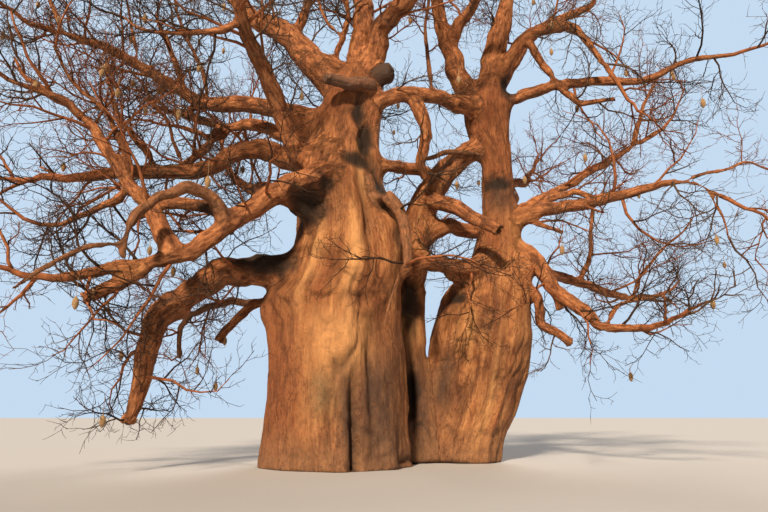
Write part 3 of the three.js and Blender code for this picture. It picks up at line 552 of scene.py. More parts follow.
# The fine twigs on all of these, and the finest ones on them.
LOWEST_TWIG = 0.5
FINE_SPACING = 0.29
FINE_FIRST = 0.12
FINE_LAST = 0.999
FINE_TURN = (26, 62)
FINE_SIDE_STEP = (110, 250)
FINE_LENGTH = (0.35, 1.15)
FINE_LENGTHS = (1.15, 0.7)  # towards the foot of the twig they are on, and towards its tip
FINE_CROOK = (12, 36)
FINE_LIFT = 0.05
FINE_STEPS = 3
FINE_RADIUS = 0.0105
FINE_CHANCE = (0.8, 1.3)
FINE_MOST = 0.8
FINE_TIP = 0.8
FINEST_CHILDREN = 3
FINEST_PLACES = (0.3, 0.95)
FINEST_TURN = (28, 62)
FINEST_SIDE_STEP = (120, 240)
FINEST_LENGTH = (0.12, 0.4)
FINEST_STEPS = 2
FINEST_RADIUS = 0.0075
FINEST_TIP = 0.55
LEADER_SIDES = 7
COARSE_SIDES = 5
BRANCH_SIDES = 4
FINE_SIDES = 3
TWIG_PIECE_LIMIT = 190000  # triangles

# The fruit: a woody pod on a straight stalk, one for every so many branches of the shoots.
POD_EVERY = 21
POD_SEED = 4001
POD_STALK = (0.25, 0.5)
POD_LENGTH = (0.28, 0.38)
POD_SHAPE = 0.24  # a pod's radius, as a share of its length
POD_RINGS = 9
POD_SIDES = 10
POD_BLUNTNESS = 0.6
POD_END = 0.1
STALK_RADIUS = 0.007

# The colours of the bark.
STEM_DARK = (0.21, 0.070, 0.0245)
STEM_MIDDLE = (0.47, 0.195, 0.072)
STEM_LIGHT = (0.68, 0.32, 0.125)
STEM_FIBRE_DARK = (0.27, 0.084, 0.026)
BOUGH_DARK = (0.15, 0.05, 0.019)
BOUGH_MIDDLE = (0.49, 0.178, 0.066)
BOUGH_LIGHT = (0.76, 0.32, 0.13)
BARK_BROWN = (0.25, 0.10, 0.045)
BARK_GOLD = (0.52, 0.23, 0.082)
BARK_RED = (0.27, 0.084, 0.03)
BARK_PALE = (0.80, 0.41, 0.16)
# Grey stains, and painted shade and shadow.
GREY_STAIN_AND_SHADOW = (0.12, 0.066, 0.042)
BARK_WORN = (0.27, 0.145, 0.078)
BARK_SPECK = (0.12, 0.044, 0.02)
BARK_ORANGE = (0.66, 0.264, 0.092)
BARK_CRACK = (0.11, 0.036, 0.014)
CRACK_STOPS = [(0.468, (0, 0, 0)), (0.5, (1, 1, 1)), (0.532, (0, 0, 0))]
LICHEN = (0.27, 0.18, 0.085)
# The colour of painted shade: in creases, grooves, hollows and rotted cups, under boughs and on shaded
# limbs.
PAINTED_SHADE_DARK = (0.03, 0.02, 0.014)
DEAD_DARK = (0.07, 0.037, 0.023)
DEAD_MIDDLE = (0.19, 0.094, 0.055)
DEAD_LIGHT = (0.33, 0.175, 0.102)
# Three colours of twig bark, given to the sprays in turn; the darkest stands for twigs in shade, painted
# shade.
TWIG_COLOURS = {
    "twig_dark": (0.05, 0.026, 0.015),
    "twig_red": (0.20, 0.072, 0.03),
    "twig_grey": (0.10, 0.058, 0.035),
}
LEADER_COLOUR = (0.30, 0.107, 0.042)
POD_SHADE = (0.20, 0.115, 0.05)
POD_LIGHT = (0.46, 0.29, 0.13)

# The light: a soft warm lamp from the front left, a weaker one from behind, and an even glow from
# all round. Each lamp has a heading, a rise, how wide it is, a strength and a colour.
LAMPS = {
    "front_light": (253, 34, 6, 5.3, (1.0, 0.79, 0.57)),
    "back_light": (72, 38, 25, 1.7, (1.0, 0.92, 0.82)),
}
SOFT_LIGHT = (0.105, 0.115, 0.135)
SKY_COLOUR = (0.56, 0.71, 0.88)
FLOOR_COLOUR = (0.52, 0.53, 0.55)
FLOOR_SIZE = 400
UP = Vector((0, 0, 1))


def make_camera():
    """A camera where the photographer stood, tilted up so that the horizon lies low in the picture."""
    data = bpy.data.cameras.new("camera")
    data.sensor_width = SENSOR
    data.lens = LENS_PIXELS / PICTURE_WIDTH * SENSOR
    data.clip_end = 500
    camera = bpy.data.objects.new("camera", data)
    camera.location = CAMERA_PLACE
    tilt = math.atan((HORIZON_ROW - PICTURE_HEIGHT / 2) / LENS_PIXELS)
    camera.rotation_euler = (math.pi / 2 + tilt, 0, 0)
    bpy.context.scene.collection.objects.link(camera)
    bpy.context.scene.camera = camera


class Random:
    """The same sequence of numbers for the same seed, as in the source."""

    def __init__(self, seed):
        self.state = seed
        self.draw(0, 1)
        self.draw(0, 1)

    def draw(self, low, high):
        self.state = self.state * 48271 % 2147483647
        return low + (high - low) * self.state / 2147483647


def child_seed(seed, index):
    return (seed * 7919 + 104729 * (index + 1)) % 2147483647


def name_seed(name):
    return sum(map(ord, name))


def lerp(low, high, share):
    return low + (high - low) * share


def direction(heading, rise):
    level = math.cos(math.radians(rise))
    across = math.radians(heading)
    return np.array([level * math.cos(across), level * math.sin(across), math.sin(math.radians(rise))])


def smooth_line(points, places):
    """Points at places, 0 to 1, on the smooth curve through a limb's points."""
    points = np.asarray(points, float)
    spans = len(points) - 1
    padded = np.vstack([2 * points[0] - points[1], points, 2 * points[-1] - points[-2]])
    scaled = np.clip(places, 0, 1) * spans
    index = np.minimum(scaled.astype(int), spans - 1)
    share = (scaled - index)[:, None]
    before, here, there, after = (padded[index + step] for step in range(4))
    leave = (there - before) / 2
    arrive = (after - here) / 2
    square = share * share
    return (
        here + leave * share
        + (3 * (there - here) - 2 * leave - arrive) * square
        + (2 * (here - there) + leave + arrive) * square * share
    )


def tangents_at(points, places):
    step = 1e-4
    ahead = smooth_line(points, np.minimum(places + step, 1))
    behind = smooth_line(points, np.maximum(places - step, 0))
    course = ahead - behind
    return course / np.linalg.norm(course, axis=1)[:, None]


def line_length(points):
    line = smooth_line(points, np.linspace(0, 1, 201))
    return float(np.linalg.norm(np.diff(line, axis=0), axis=1).sum())


def cross_directions(tangents):
    """Two directions across each tangent, carried along without twisting."""
    across = np.cross((0.0, 0.0, 1.0), tangents[0])
    if np.linalg.norm(across) < 0.1:
        across = np.array([1.0, 0, 0])
    firsts = []
    for tangent in tangents:
        across = across - tangent * np.dot(across, tangent)
        across = across / np.linalg.norm(across)
        firsts.append(across)
    firsts = np.array(firsts)
    return firsts, np.cross(tangents, firsts)


class Limb:
    """A stem or bough: the points of its middle line, and a radius at each place along it, 0 to 1.

    One that grows from a parent starts in a collar. Stems and the wood in corners have none.
    """

    def __init__(self, name, points, radii, level=False, folds=(), parent=None):
        self.name = name
        self.points = np.asarray(points, float)
        self.radii = radii
        self.level = level
        self.folds = folds
        self.parent = parent
        self.length = line_length(points)

    def radius(self, places):
        if not self.parent:
            return np.interp(places, np.linspace(0, 1, len(self.radii)), self.radii)
        swell = 1 + COLLAR_SWELL * np.exp(-places * self.length / COLLAR_LENGTH)
        return lerp(self.radii[0], self.radii[1], places) * swell

    def radius_at(self, place):
        return float(self.radius(np.array([place]))[0])

    def mean_radius(self):
        return float(np.mean(self.radius(np.linspace(0, 1, 20))))

    def at(self, place):
        """The point at a place and the way the limb runs there."""
        here = np.array([place])
        return Vector(smooth_line(self.points, here)[0]), Vector(tangents_at(self.points, here)[0])


def stem_point(rows, height):
    index = next(i for i, row in enumerate(rows) if row[0] > height)
    below, above = rows[index - 1], rows[index]
    share = (height - below[0]) / (above[0] - below[0])
    return np.array([lerp(below[1], above[1], share), lerp(below[2], above[2], share), height])


def limb_point(limbs, name, at):
    """The middle of a stem at a height, or of a bough after so many of its runs."""
    if name in STEMS:
        return stem_point(STEMS[name]["rows"], at)
    points = limbs[name].points
    return smooth_line(points, np.array([at / (len(points) - 1)]))[0]


def make_limbs():
    """Every stem, bough and lesser limb, by name."""
    limbs = {}
    for name, stem in STEMS.items():
        points = [(x, y, z) for z, x, y, _ in stem["rows"]]
        radii = [row[3] for row in stem["rows"]]
        limbs[name] = Limb(name, points, radii, stem["level"], stem["folds"])
    for name, (parent, at, radii, runs) in ALL_LIMBS.items():
        points = [limb_point(limbs, parent, at)]
        for heading, rise, length in runs:
            points.append(points[-1] + direction(heading, rise) * length)
        limbs[name] = Limb(name, points, radii, parent=parent)
    return limbs


def hashed(ix, iy, iz, seed):
    mixed = (ix * 374761393 + iy * 668265263 + iz * 1274126177 + seed * 144665) & 0xFFFFFFFF
    mixed = ((mixed ^ (mixed >> 13)) * 1103515245) & 0xFFFFFFFF
    return ((mixed ^ (mixed >> 16)) & 0xFFFF) / 32767.5 - 1


def noise(places, seed):
    """Smooth noise from -1 to 1 at each place, a bump or so to each unit."""
    cell = np.floor(places).astype(np.int64)
    share = places - cell
    share = share * share * (3 - 2 * share)
    total = 0
    for corner in range(8):
        offset = (corner & 1, corner >> 1 & 1, corner >> 2 & 1)
        weight = 1
        for axis in range(3):
            weight = weight * (share[:, axis] if offset[axis] else 1 - share[:, axis])
        total = total + weight * hashed(*(cell[:, axis] + offset[axis] for axis in range(3)), seed)
    return total


def layered_noise(places, seed):
    """Noise, and half as much noise of half its size."""
    return (noise(places, seed) + noise(places * 2, seed + 1) / 2) / 1.6


def creases(grain, width, length, sharpness, seed):
    """1 along narrow lines that wander with the grain, so wide and so long, and 0 between them."""
    value = noise(grain / np.array([width, width, length]), seed)
    return np.exp(-((value / sharpness) ** 2))


def mesh_from_arrays(name, places, faces):
    """A mesh of faces that all have the same number of corners."""
    mesh = bpy.data.meshes.new(name)
    places = np.asarray(places, np.float32)
    faces = np.asarray(faces, np.int32)
    count, corners = faces.shape
    mesh.vertices.add(len(places))
    mesh.vertices.foreach_set("co", places.ravel())
    mesh.loops.add(count * corners)
    mesh.loops.foreach_set("vertex_index", faces.ravel())
    mesh.polygons.add(count)
    mesh.polygons.foreach_set("loop_start", np.arange(0, count * corners, corners, dtype=np.int32))
    mesh.update(calc_edges=True)
    shade_smooth(mesh)
    return mesh


def shade_smooth(mesh):
    mesh.polygons.foreach_set("use_smooth", np.ones(len(mesh.polygons), bool))


def add_object(name, mesh, material, replaced=()):
    piece = bpy.data.objects.new(name, mesh)
    bpy.context.scene.collection.objects.link(piece)
    mesh.materials.append(material)
    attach(piece, "root")
    if replaced:
        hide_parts(*replaced)


def ring_angles(sides):
    return np.arange(sides) * 2 * math.pi / sides


def ring_grid(rings, sides):
    """The four-cornered faces between rings of corners, with both ends left open."""
    ring = np.arange(rings - 1)[:, None] * sides
    side = np.arange(sides)[None, :]
    after = (side + 1) % sides
    corners = [ring + side, ring + after, ring + sides + after, ring + sides + side]
    return np.stack(corners, 2).reshape(-1, 4)


def halved(quads):
    """Each four-cornered face as two triangles."""
    return quads[..., [0, 1, 2]], quads[..., [0, 2, 3]]


def wandered(limb, centres, places, across, other, wander):
    """A limb's middle line, straying from its even course except at its ends."""
    seed = name_seed(limb.name)
    along = (places * limb.length)[:, None] * np.ones((1, 3))
    fade = np.minimum(1, np.minimum(places, 1 - places) * limb.length)
    sway = wander * fade * limb.radius(places)
    centres = centres + across * (sway * noise(along / 0.9 + 7.1, seed))[:, None]
    return centres + other * (sway * noise(along / 0.8 + 3.3, seed + 1))[:, None]


def ring_radii(limb, places, swell, sunk):
    """The radius of each ring: thinner at the start of a sunk limb, and closing at a round end."""
    radius = limb.radius(places) * np.linspace(*swell, len(places))
    if sunk:
        radius = radius * (1 - SUNK_SHARE * np.exp(-((places * limb.length / SUNK_LENGTH) ** 2)))
    if limb.name in ROUND_LIMBS:
        beyond = np.clip(1 - (1 - places) * limb.length / radius[-1], 0, ROUNDED_SHARE)
        radius = radius * np.sqrt(1 - beyond**2)
    return radius


class Tube:
    """A closed tube round a limb, with what the bark needs to know at each of its rings."""

    def __init__(self, limb, spacing, to_place=1.0, swell=(1.0, 1.0), wander=0.0, sunk=False):
        self.limb = limb
        self.rings = max(MIN_RINGS, int(limb.length * to_place / spacing) + 1)
        widest = float(limb.radius(np.linspace(0, to_place, 9)).max())
        self.sides = int(np.clip(2 * math.pi * widest / spacing, *TUBE_SIDES))
        places = np.linspace(0, to_place, self.rings)
        centres = smooth_line(limb.points, places)
        tangents = tangents_at(limb.points, places)
        if limb.level:
            tangents = np.tile([0.0, 0.0, 1.0], (self.rings, 1))
        elif not limb.parent:
            tangents[0] = (0, 0, 1)
        across, other = cross_directions(tangents)
        if wander:
            centres = wandered(limb, centres, places, across, other, wander)
        self.axes = (across, other, tangents)
        self.centres = centres
        self.along = np.append(0, np.cumsum(np.linalg.norm(np.diff(centres, axis=0), axis=1)))
        self.radius = ring_radii(limb, places, swell, sunk)
        self.corners = self.make_corners()

    def make_corners(self):
        """The corners of every ring, with the folds, and then the middles of both ends."""
        angles = ring_angles(self.sides)
        across, other, _ = self.axes
        radius = self.radius[:, None]
        grown = np.tile(radius, (1, self.sides))
        for count, depth, start, turn in self.limb.folds:
            phase = np.radians(start + turn * self.centres[:, 2])[:, None]
            grown = grown + radius * depth * np.cos(count * angles[None, :] + phase)
        skin = (
            self.centres[:, None]
            + across[:, None] * (grown * np.cos(angles))[:, :, None]
            + other[:, None] * (grown * np.sin(angles))[:, :, None]
        )
        return np.vstack([skin.reshape(-1, 3), self.centres[:1], self.centres[-1:]])

    def faces(self):
        """Triangles of the whole tube, its ends closed round their middles."""
        side = np.arange(self.sides)
        after = (side + 1) % self.sides
        foot = self.rings * self.sides
        last = (self.rings - 1) * self.sides
        bottom = np.stack([np.full(self.sides, foot), after, side], 1)
        top = np.stack([np.full(self.sides, foot + 1), last + side, last + after], 1)
        return np.vstack([*halved(ring_grid(self.rings, self.sides)), bottom, top])


def joined_skin(name, tubes, voxel, smoothing):
    """One closed skin over tubes that run into each other, with its joints softened."""
    corners, faces, first = [], [], 0
    for tube in tubes:
        corners.append(tube.corners)
        faces.append(tube.faces() + first)
        first += len(tube.corners)
    rough = mesh_from_arrays(name + "_rough", np.vstack(corners), np.vstack(faces))
    holder = bpy.data.objects.new(name + "_rough", rough)
    bpy.context.scene.collection.objects.link(holder)
    remesh = holder.modifiers.new("remesh", "REMESH")
    remesh.mode = "VOXEL"
    remesh.voxel_size = voxel
    smooth = holder.modifiers.new("smooth", "SMOOTH")
    smooth.factor = 0.5
    smooth.iterations = smoothing
    graph = bpy.context.evaluated_depsgraph_get()
    mesh = bpy.data.meshes.new_from_object(holder.evaluated_get(graph))
    mesh.name = name
    bpy.data.objects.remove(holder)
    bpy.data.meshes.remove(rough)
    return mesh


def nearest_tubes(places, tubes):
    """On which tube each place lies, where in its limb's grain, and the radius and angle there."""
    tree = kdtree.KDTree(sum(tube.rings * tube.sides for tube in tubes))
    rows = []
    for number, tube in enumerate(tubes):
        for index in range(tube.rings * tube.sides):
            tree.insert(tube.corners[index], len(rows) + index)
        ring = np.repeat(np.arange(tube.rings), tube.sides)
        rows.extend(zip([number] * len(ring), ring.tolist()))
    tree.balance()
    found = np.array([rows[tree.find(place)[1]] for place in places.tolist()])
    number = found[:, 0]
    grain = np.zeros_like(places)
    radius, angle = np.zeros(len(places)), np.zeros(len(places))
    for index, tube in enumerate(tubes):
        mine = number == index
        ring = found[mine, 1]
        across, other, tangent = (axis[ring] for axis in tube.axes)
        away = places[mine] - tube.centres[ring]
        along = tube.along[ring] + (away * tangent).sum(1)
        turn = np.arctan2((away * other).sum(1), (away * across).sum(1))
        size = tube.limb.mean_radius()
        grain[mine] = np.stack([size * np.cos(turn), size * np.sin(turn), along], 1)
        radius[mine] = tube.radius[ring]
        angle[mine] = turn
    return number, grain, radius, angle


def beside_joints(number, edges):
    """How near each corner lies to where one limb's skin meets another's: 1 there, 0 far off."""
    a, b = edges.T
    nearness = np.zeros(len(number))
    crossing = number[a] != number[b]
    nearness[a[crossing]] = 1
    nearness[b[crossing]] = 1
    for _ in range(JOINT_STEPS):
        reached = nearness.copy()
        np.maximum.at(reached, a, nearness[b] - 1 / JOINT_STEPS)
        np.maximum.at(reached, b, nearness[a] - 1 / JOINT_STEPS)
        nearness = reached
    return nearness


def soften(values, share, edges, rounds):
    """Moves each corner's values towards the mean of its neighbours', by its own share."""
    a, b = edges.T
    count = len(values)
    degree = np.maximum(np.bincount(edges.ravel(), minlength=count), 1)
    columns = values.reshape(count, -1)
    for _ in range(rounds):
        for column in columns.T:
            total = np.bincount(a, column[b], count) + np.bincount(b, column[a], count)
            column += share * (total / degree - column)
    return values


def bark_relief(grain, size, seed, craggy):
    """How far the bark stands out, and how much shade is painted in its creases, on wood of one mean
    radius.
    """
    width = 0.3 + 0.35 * size
    bend = [noise(grain / (1.3 * width), seed + shift) for shift in BEND_SEEDS]
    grain = grain + 0.5 * width * np.stack(bend, 1)
    swells = layered_noise(grain / (width * np.array([1, 1, 1.9])), seed)
    ribs = noise(grain / (width * np.array([0.45, 0.45, 2.6])), seed + 3)
    patches = np.clip(0.45 + 1.5 * noise(grain / (2.2 * width), seed + 6), 0, 1)
    deep = creases(grain, 0.55 * width, 1.9 * width, 0.1, seed + 5) * patches
    fine = creases(grain, 0.24 * width, 1.1 * width, 0.15, seed + 7)
    cross = creases(grain, width, 0.25 * width, 0.16, seed + 9)
    cross = cross * np.clip(1.6 * noise(grain / (1.8 * width), seed + 10) - 0.1, 0, 1)
    knots = np.clip(noise(grain / (1.1 * width), seed + 12) - 0.55, 0, 1)
    crags = layered_noise(grain / (CRAG_SIZE * np.array([1, 1, 1.6])), seed + 14)
    depth = min(0.075 * math.sqrt(size), 0.2 * size)
    # dark is painted shade in the creases, and on the boughs also in the lows of the crags
    if craggy:
        height = depth * (1.1 * swells + 0.2 * ribs - 0.7 * deep - 0.15 * fine - 0.45 * cross + 3 * knots)
        height += min(0.03, 0.11 * size) * crags
        dark = 0.7 * deep + 0.3 * fine + 0.45 * cross + 0.5 * np.clip(-crags - 0.3, 0, 1)
    else:
        height = depth * (swells + 0.65 * ribs - 1.1 * deep - 0.22 * fine - 0.06 * cross + 3 * knots)
        height += 0.016 * crags
        dark = 0.55 * deep + 0.25 * fine + 0.06 * cross
    return height, np.clip(dark, 0, 1)


def around(spot, angle, radius, level):
    """1 in the middle of a marked place on a stem, falling to 0 outside it."""
    height, heading, half_width, half_height = spot
    turn = (angle - math.radians(heading) + math.pi) % (2 * math.pi) - math.pi
    return np.exp(-((turn * radius / half_width) ** 2) - np.abs((level - height) / half_height) ** 3)


def in_shaded_hollows(places):
    """How much shade is painted on each place in the hollows and shadows, 0 to 1, and how far it is sunk.
    """
    dark, sunk = np.zeros(len(places)), np.zeros(len(places))
    ragged = 1 + 0.3 * noise(places / 0.25, SHADE_SEED)
    for middle, reach, depth in SHADED_HOLLOWS:
        away = np.sqrt((((places - middle) / reach) ** 2).sum(1)) * ragged
        inside = np.exp(-(away**5))
        dark = np.maximum(dark, inside)
        sunk = np.maximum(sunk, inside * depth)
    return dark, sunk


def broken_end(places, limb):
    """How near each place is to a limb's broken end, how far inside its rotted cup, and its radius."""
    radius = limb.radius_at(1.0)
    away = np.linalg.norm(places - limb.points[-1], axis=1) / radius
    return np.clip(2 - away, 0, 1), np.clip(1.25 - 1.25 * away, 0, 1), radius


def limb_relief(limb, places, grain, radius, angle):
    """The height of the bark on one limb's part of a skin and the shade painted on it, with its end and
    its marks.
    """
    seed = name_seed(limb.name)
    shifted = grain + np.array([0, 0, seed % SEED_SHIFTS])
    height, dark = bark_relief(shifted, limb.mean_radius(), seed, limb.name not in STEMS)
    if limb.name in BROKEN_LIMBS:
        ragged, cup, size = broken_end(places, limb)
        height += ragged * noise(places / (0.5 * size), seed) * size * RAGGED_HEIGHT
        if limb.name in HOLLOW_ENDS:
            # the inside of a rotted cup is painted dark, with shade
            dark = np.maximum(dark, np.clip(2.2 * cup, 0, 1))
            height -= CUP_DEPTH * size * cup
    # painted shade all over a shaded limb
    dark = np.maximum(dark, SHADED_LIMBS.get(limb.name, 0))
    for *spot, out in MARKS.get(limb.name, ()):
        mark = around(spot, angle, radius, places[:, 2])
        height += out * mark
        # a narrow groove is painted dark inside, with shade
        if out < 0 and spot[2] < NARROW:
            dark = np.clip(dark + mark * min(1, -out * 3.5), 0, 1)
    return height, dark


def read_values(rows, name, size, kind=np.float32):
    values = np.zeros(len(rows) * size, kind)
    rows.foreach_get(name, values)
    return values.reshape(-1, size)


def store_values(mesh, name, values, kind="FLOAT", field="value"):
    store = mesh.attributes.new(name, kind, "POINT")
    store.data.foreach_set(field, values.astype(np.float32).ravel())


class Skin:
    """A joined skin: on which limb each of its corners lies, and where in that limb's grain."""

    def __init__(self, mesh, tubes):
        self.mesh = mesh
        self.limbs = [tube.limb for tube in tubes]
        self.places = read_values(mesh.vertices, "co", 3).astype(float)
        self.edges = read_values(mesh.edges, "vertices", 2, np.int32)
        self.number, self.grain, self.radius, self.angle = nearest_tubes(self.places, tubes)
        self.nearness = beside_joints(self.number, self.edges)

    def blank(self):
        return np.zeros(len(self.places))

    def parts(self):
        """Each limb, with which corners lie on it."""
        for index, limb in enumerate(self.limbs):
            yield limb, self.number == index

    def softened(self, values, rounds, share=1.0):
        """Values made even beside the joints."""
        return soften(values, share * self.nearness, self.edges, rounds)

    def normals(self):
        return read_values(self.mesh.vertices, "normal", 3).astype(float)

    def move(self, places):
        self.places = places
        self.mesh.vertices.foreach_set("co", places.astype(np.float32).ravel())
        self.mesh.update()

    def relief(self):
        """How far the bark stands out at each corner, and how much shade is painted there."""
        height, dark = self.blank(), self.blank()
        for limb, mine in self.parts():
            spots = (self.places[mine], self.grain[mine], self.radius[mine], self.angle[mine])
            height[mine], dark[mine] = limb_relief(limb, *spots)
        # The hollows add painted shade and painted shadows, and sink the bark.
        hollow_shade, sunk = in_shaded_hollows(self.places)
        return height - sunk, np.maximum(CREASE_SHADE_SHARE * dark, hollow_shade)

    def tints(self):
        """How strongly each tint lies at each corner."""
        tints = {name: self.blank() for name in TINT_NAMES}
        for limb, mine in self.parts():
            for *spot, name in TINTS.get(limb.name, ()):
                there = around(spot, self.angle[mine], self.radius[mine], self.places[mine, 2])
                tints[name][mine] = np.maximum(tints[name][mine], there)
        return tints

    def stem_tones(self):
        """How far the bark turns to the boughs' colours, up the stems and out along the roots."""
        tones = self.blank()
        for limb, mine in self.parts():
            if limb.name not in STEMS:
                tones[mine] = np.clip(self.grain[mine, 2] / ROOT_FADE - 0.5, 0, 1)
        redder = np.clip((self.places[:, 2] - REDDER_FROM) / REDDER_OVER, 0, REDDER_MOST)
        return self.softened(np.maximum(tones, redder), TONE_ROUNDS)

    def worn(self, on_stems):
        """How worn or weathered the bark is: worn at the foot of the stems, weathered on some limbs."""
        worn = self.blank()
        if on_stems:
            worn = np.clip((WORN_FOOT - self.places[:, 2]) / WORN_FOOT, 0, 1)
        for limb, mine in self.parts():
            if limb.name in WEATHERED_LIMBS:
                worn[mine] = WEATHERED_SHARE
        return worn


def underside_shade(places, normals):
    """Painted shade on the bark where it faces down."""
    under = np.clip(-1.3 * normals[:, 2] - 0.45, 0, 1)
    return UNDERSIDE_SHADE * under * (0.75 + 0.25 * noise(places / 0.4, SHADE_SEED))


def carve_bark(mesh, tubes, on_stems):
    """Rounds the joints of a skin, moves it by the relief of its bark and stores where colours and painted
    shade lie.
    """
    skin = Skin(mesh, tubes)
    skin.move(skin.softened(skin.places, JOINT_ROUNDS, JOINT_SOFTNESS))
    normals = skin.normals()
    height, dark = skin.relief()
    tints = skin.tints()
    if on_stems:
        normals[:, 2] *= np.clip(skin.places[:, 2] / FLAT_FOOT, 0, 1)
    else:
        # painted shade on the undersides of the boughs
        dark = np.maximum(dark, underside_shade(skin.places, normals))
    places = skin.places + normals * skin.softened(height, RELIEF_ROUNDS)[:, None]
    places[:, 2] = np.maximum(places[:, 2], 0)
    skin.move(places)
    tones = skin.stem_tones() if on_stems else skin.blank() + 1
    for name, values in {"crease": dark, "worn": skin.worn(on_stems), "tone": tones, **tints}.items():
        store_values(mesh, name, values)
    store_values(mesh, "grain", skin.grain, "FLOAT_VECTOR", "vector")
    shade_smooth(mesh)


def add_skin(name, tubes, voxel, smoothing, material, slot, replaced):
    """One skin over tubes, with its bark, in place of the solids that it replaces."""
    mesh = joined_skin(name, tubes, voxel, smoothing)
    carve_bark(mesh, tubes, slot == "stem_bark")
    add_object(name, mesh, material, replaced)


def web_tube(limbs, web):
    stem, height, radius, bough, runs, end_radius = web
    ends = [limb_point(limbs, stem, height), limb_point(limbs, bough, runs)]
    return Tube(Limb(bough, ends, [radius, end_radius]), STEM_SPACING)


def root_tube(limb, stem):
    """The first stretch of a bough, in its stem's skin, wider at first and sinking under its own."""
    stem_radius = float(np.interp(limb.points[0][2], stem.points[:, 2], stem.radii))
    to_place = min(1.0, (stem_radius + ROOT_LENGTH) / limb.length)
    first_swell, last_swell = ROOT_SWELL
    widest = ROOT_WIDEST * stem_radius / limb.radius_at(0.0)
    return Tube(limb, ROOT_SPACING, to_place, swell=(min(first_swell, widest), last_swell))


def make_stems(limbs, material):
    """One skin over the stems, the roots of their boughs and the wood in the corners."""
    tubes = [Tube(limbs[name], STEM_SPACING) for name in STEMS]
    tubes.extend(root_tube(limb, limbs[limb.parent]) for limb in limbs.values() if limb.parent in STEMS)
    tubes.extend(web_tube(limbs, web) for web in WEBS)
    add_skin("stems", tubes, STEM_VOXEL, STEM_SMOOTHING, material, "stem_bark", STEMS)


def bough_tube(limb):
    """A bough's own skin: a thin limb strays further, and one on a stem starts inside it."""
    wander = THIN_WANDER if limb.mean_radius() < THIN_LIMB else THICK_WANDER
    return Tube(limb, BOUGH_SPACING, wander=wander, sunk=limb.parent in STEMS)


def make_boughs(limbs, material):
    """The boughs and lesser limbs, in skins that each hold a part of the crown."""
    for group, names in BOUGH_GROUPS.items():
        tubes = [bough_tube(limbs[name]) for name in names]
        replaced = [name for name in names if name in BOUGHS]
        add_skin(group, tubes, BOUGH_VOXEL, BOUGH_SMOOTHING, material, "bough_bark", replaced)


def make_stubs(limbs, materials):
    """The dead stubs, each group in its own wood."""
    for (group, names), material in zip(STUB_GROUPS.items(), materials):
        tubes = [Tube(limbs[name], STUB_SPACING, wander=STUB_WANDER) for name in names]
        add_skin(group, tubes, STUB_VOXEL, STUB_SMOOTHING, material, "dead_wood", names)


class Wood:
    """Straight lengths of wood that twigs keep clear of."""

    def __init__(self):
        self.starts, self.ends, self.radii, self.owners = [], [], [], []
        self.packed = None

    def record(self, line, radii, owner):
        for index in range(len(line) - 1):
            self.starts.append(line[index])
            self.ends.append(line[index + 1])
            self.radii.append(max(radii[index], radii[index + 1]))
            self.owners.append(owner)
        self.packed = None

    def arrays(self):
        if self.packed is None:
            starts, ends = np.array(self.starts), np.array(self.ends)
            self.packed = (starts, ends - starts, np.array(self.radii), np.array(self.owners))
        return self.packed

    def touches(self, points, radius, owner):
        """Whether a path of straight lengths comes too near any wood but its owner's."""
        starts, deltas, radii, owners = self.arrays()
        others = owners != owner
        for first, second in zip(points, points[1:]):
            gaps = line_gaps(np.array(first), np.array(second), starts, deltas)
            if np.any(others & (gaps < radius + radii + TWIG_CLEARANCE)):
                return True
        return False


def line_gaps(first, second, starts, deltas):
    """The least distance from one straight length to each of many."""
    a = second - first
    between = first - starts
    aa = a @ a
    bb = (deltas * deltas).sum(1)
    ab = deltas @ a
    fa = between @ a
    fb = (between * deltas).sum(1)
    across = aa * bb - ab * ab
    safe = np.where(across > 1e-9, across, 1)
    s = np.where(across > 1e-9, np.clip((ab * fb - bb * fa) / safe, 0, 1), 0)
    t = np.clip((ab * s + fb) / bb, 0, 1)
    s = np.clip((ab * t - fa) / aa, 0, 1)
    return np.linalg.norm(between + a * s[:, None] - deltas * t[:, None], axis=1)


def turned(heading, angle, side):
    """A direction turned away from itself by an angle, towards a side."""
    across = UP.cross(heading)
    if across.length < 0.1:
        across = Vector((1, 0, 0))
    across = (across - heading * across.dot(heading)).normalized()
    other = heading.cross(across)
    away = across * math.cos(math.radians(side)) + other * math.sin(math.radians(side))
    return (heading * math.cos(math.radians(angle)) + away * math.sin(math.radians(angle))).normalized()


def crooked(points, random):
    """The same path with more bends, which leave its own corners where they are."""
    path = [points[0]]
    for start, end in zip(points, points[1:]):
        along = end - start
        sway = along.length * BEND_SWAY
        for part in range(1, BENDS):
            offset = Vector((random.draw(-1, 1), random.draw(-1, 1), random.draw(-1, 1))) * sway
            path.append(start + along * (part / BENDS) + offset)
        path.append(end)
    return path


def point_on(path, place):
    along = place * (len(path) - 1)
    index = min(int(along), len(path) - 2)
    return path[index].lerp(path[index + 1], along - index), (path[index + 1] - path[index]).normalized()


def grow_path(start, heading, length, steps, crook, lift, random):
    path = [start]
    course = heading
    for _ in range(steps):
        course = turned(course, random.draw(*crook), random.draw(0, 360))
        course = (course + UP * lift).normalized()
        path.append(path[-1] + course * (length / steps))
    return path


def inside_box(path):
    """Whether a twig stays inside the box of the solids and above the ground."""
    low, high = cad_box
    return all(
        all(low[axis] < point[axis] < high[axis] for axis in range(3)) and point.z > LOWEST_TWIG
        for point in path
    )


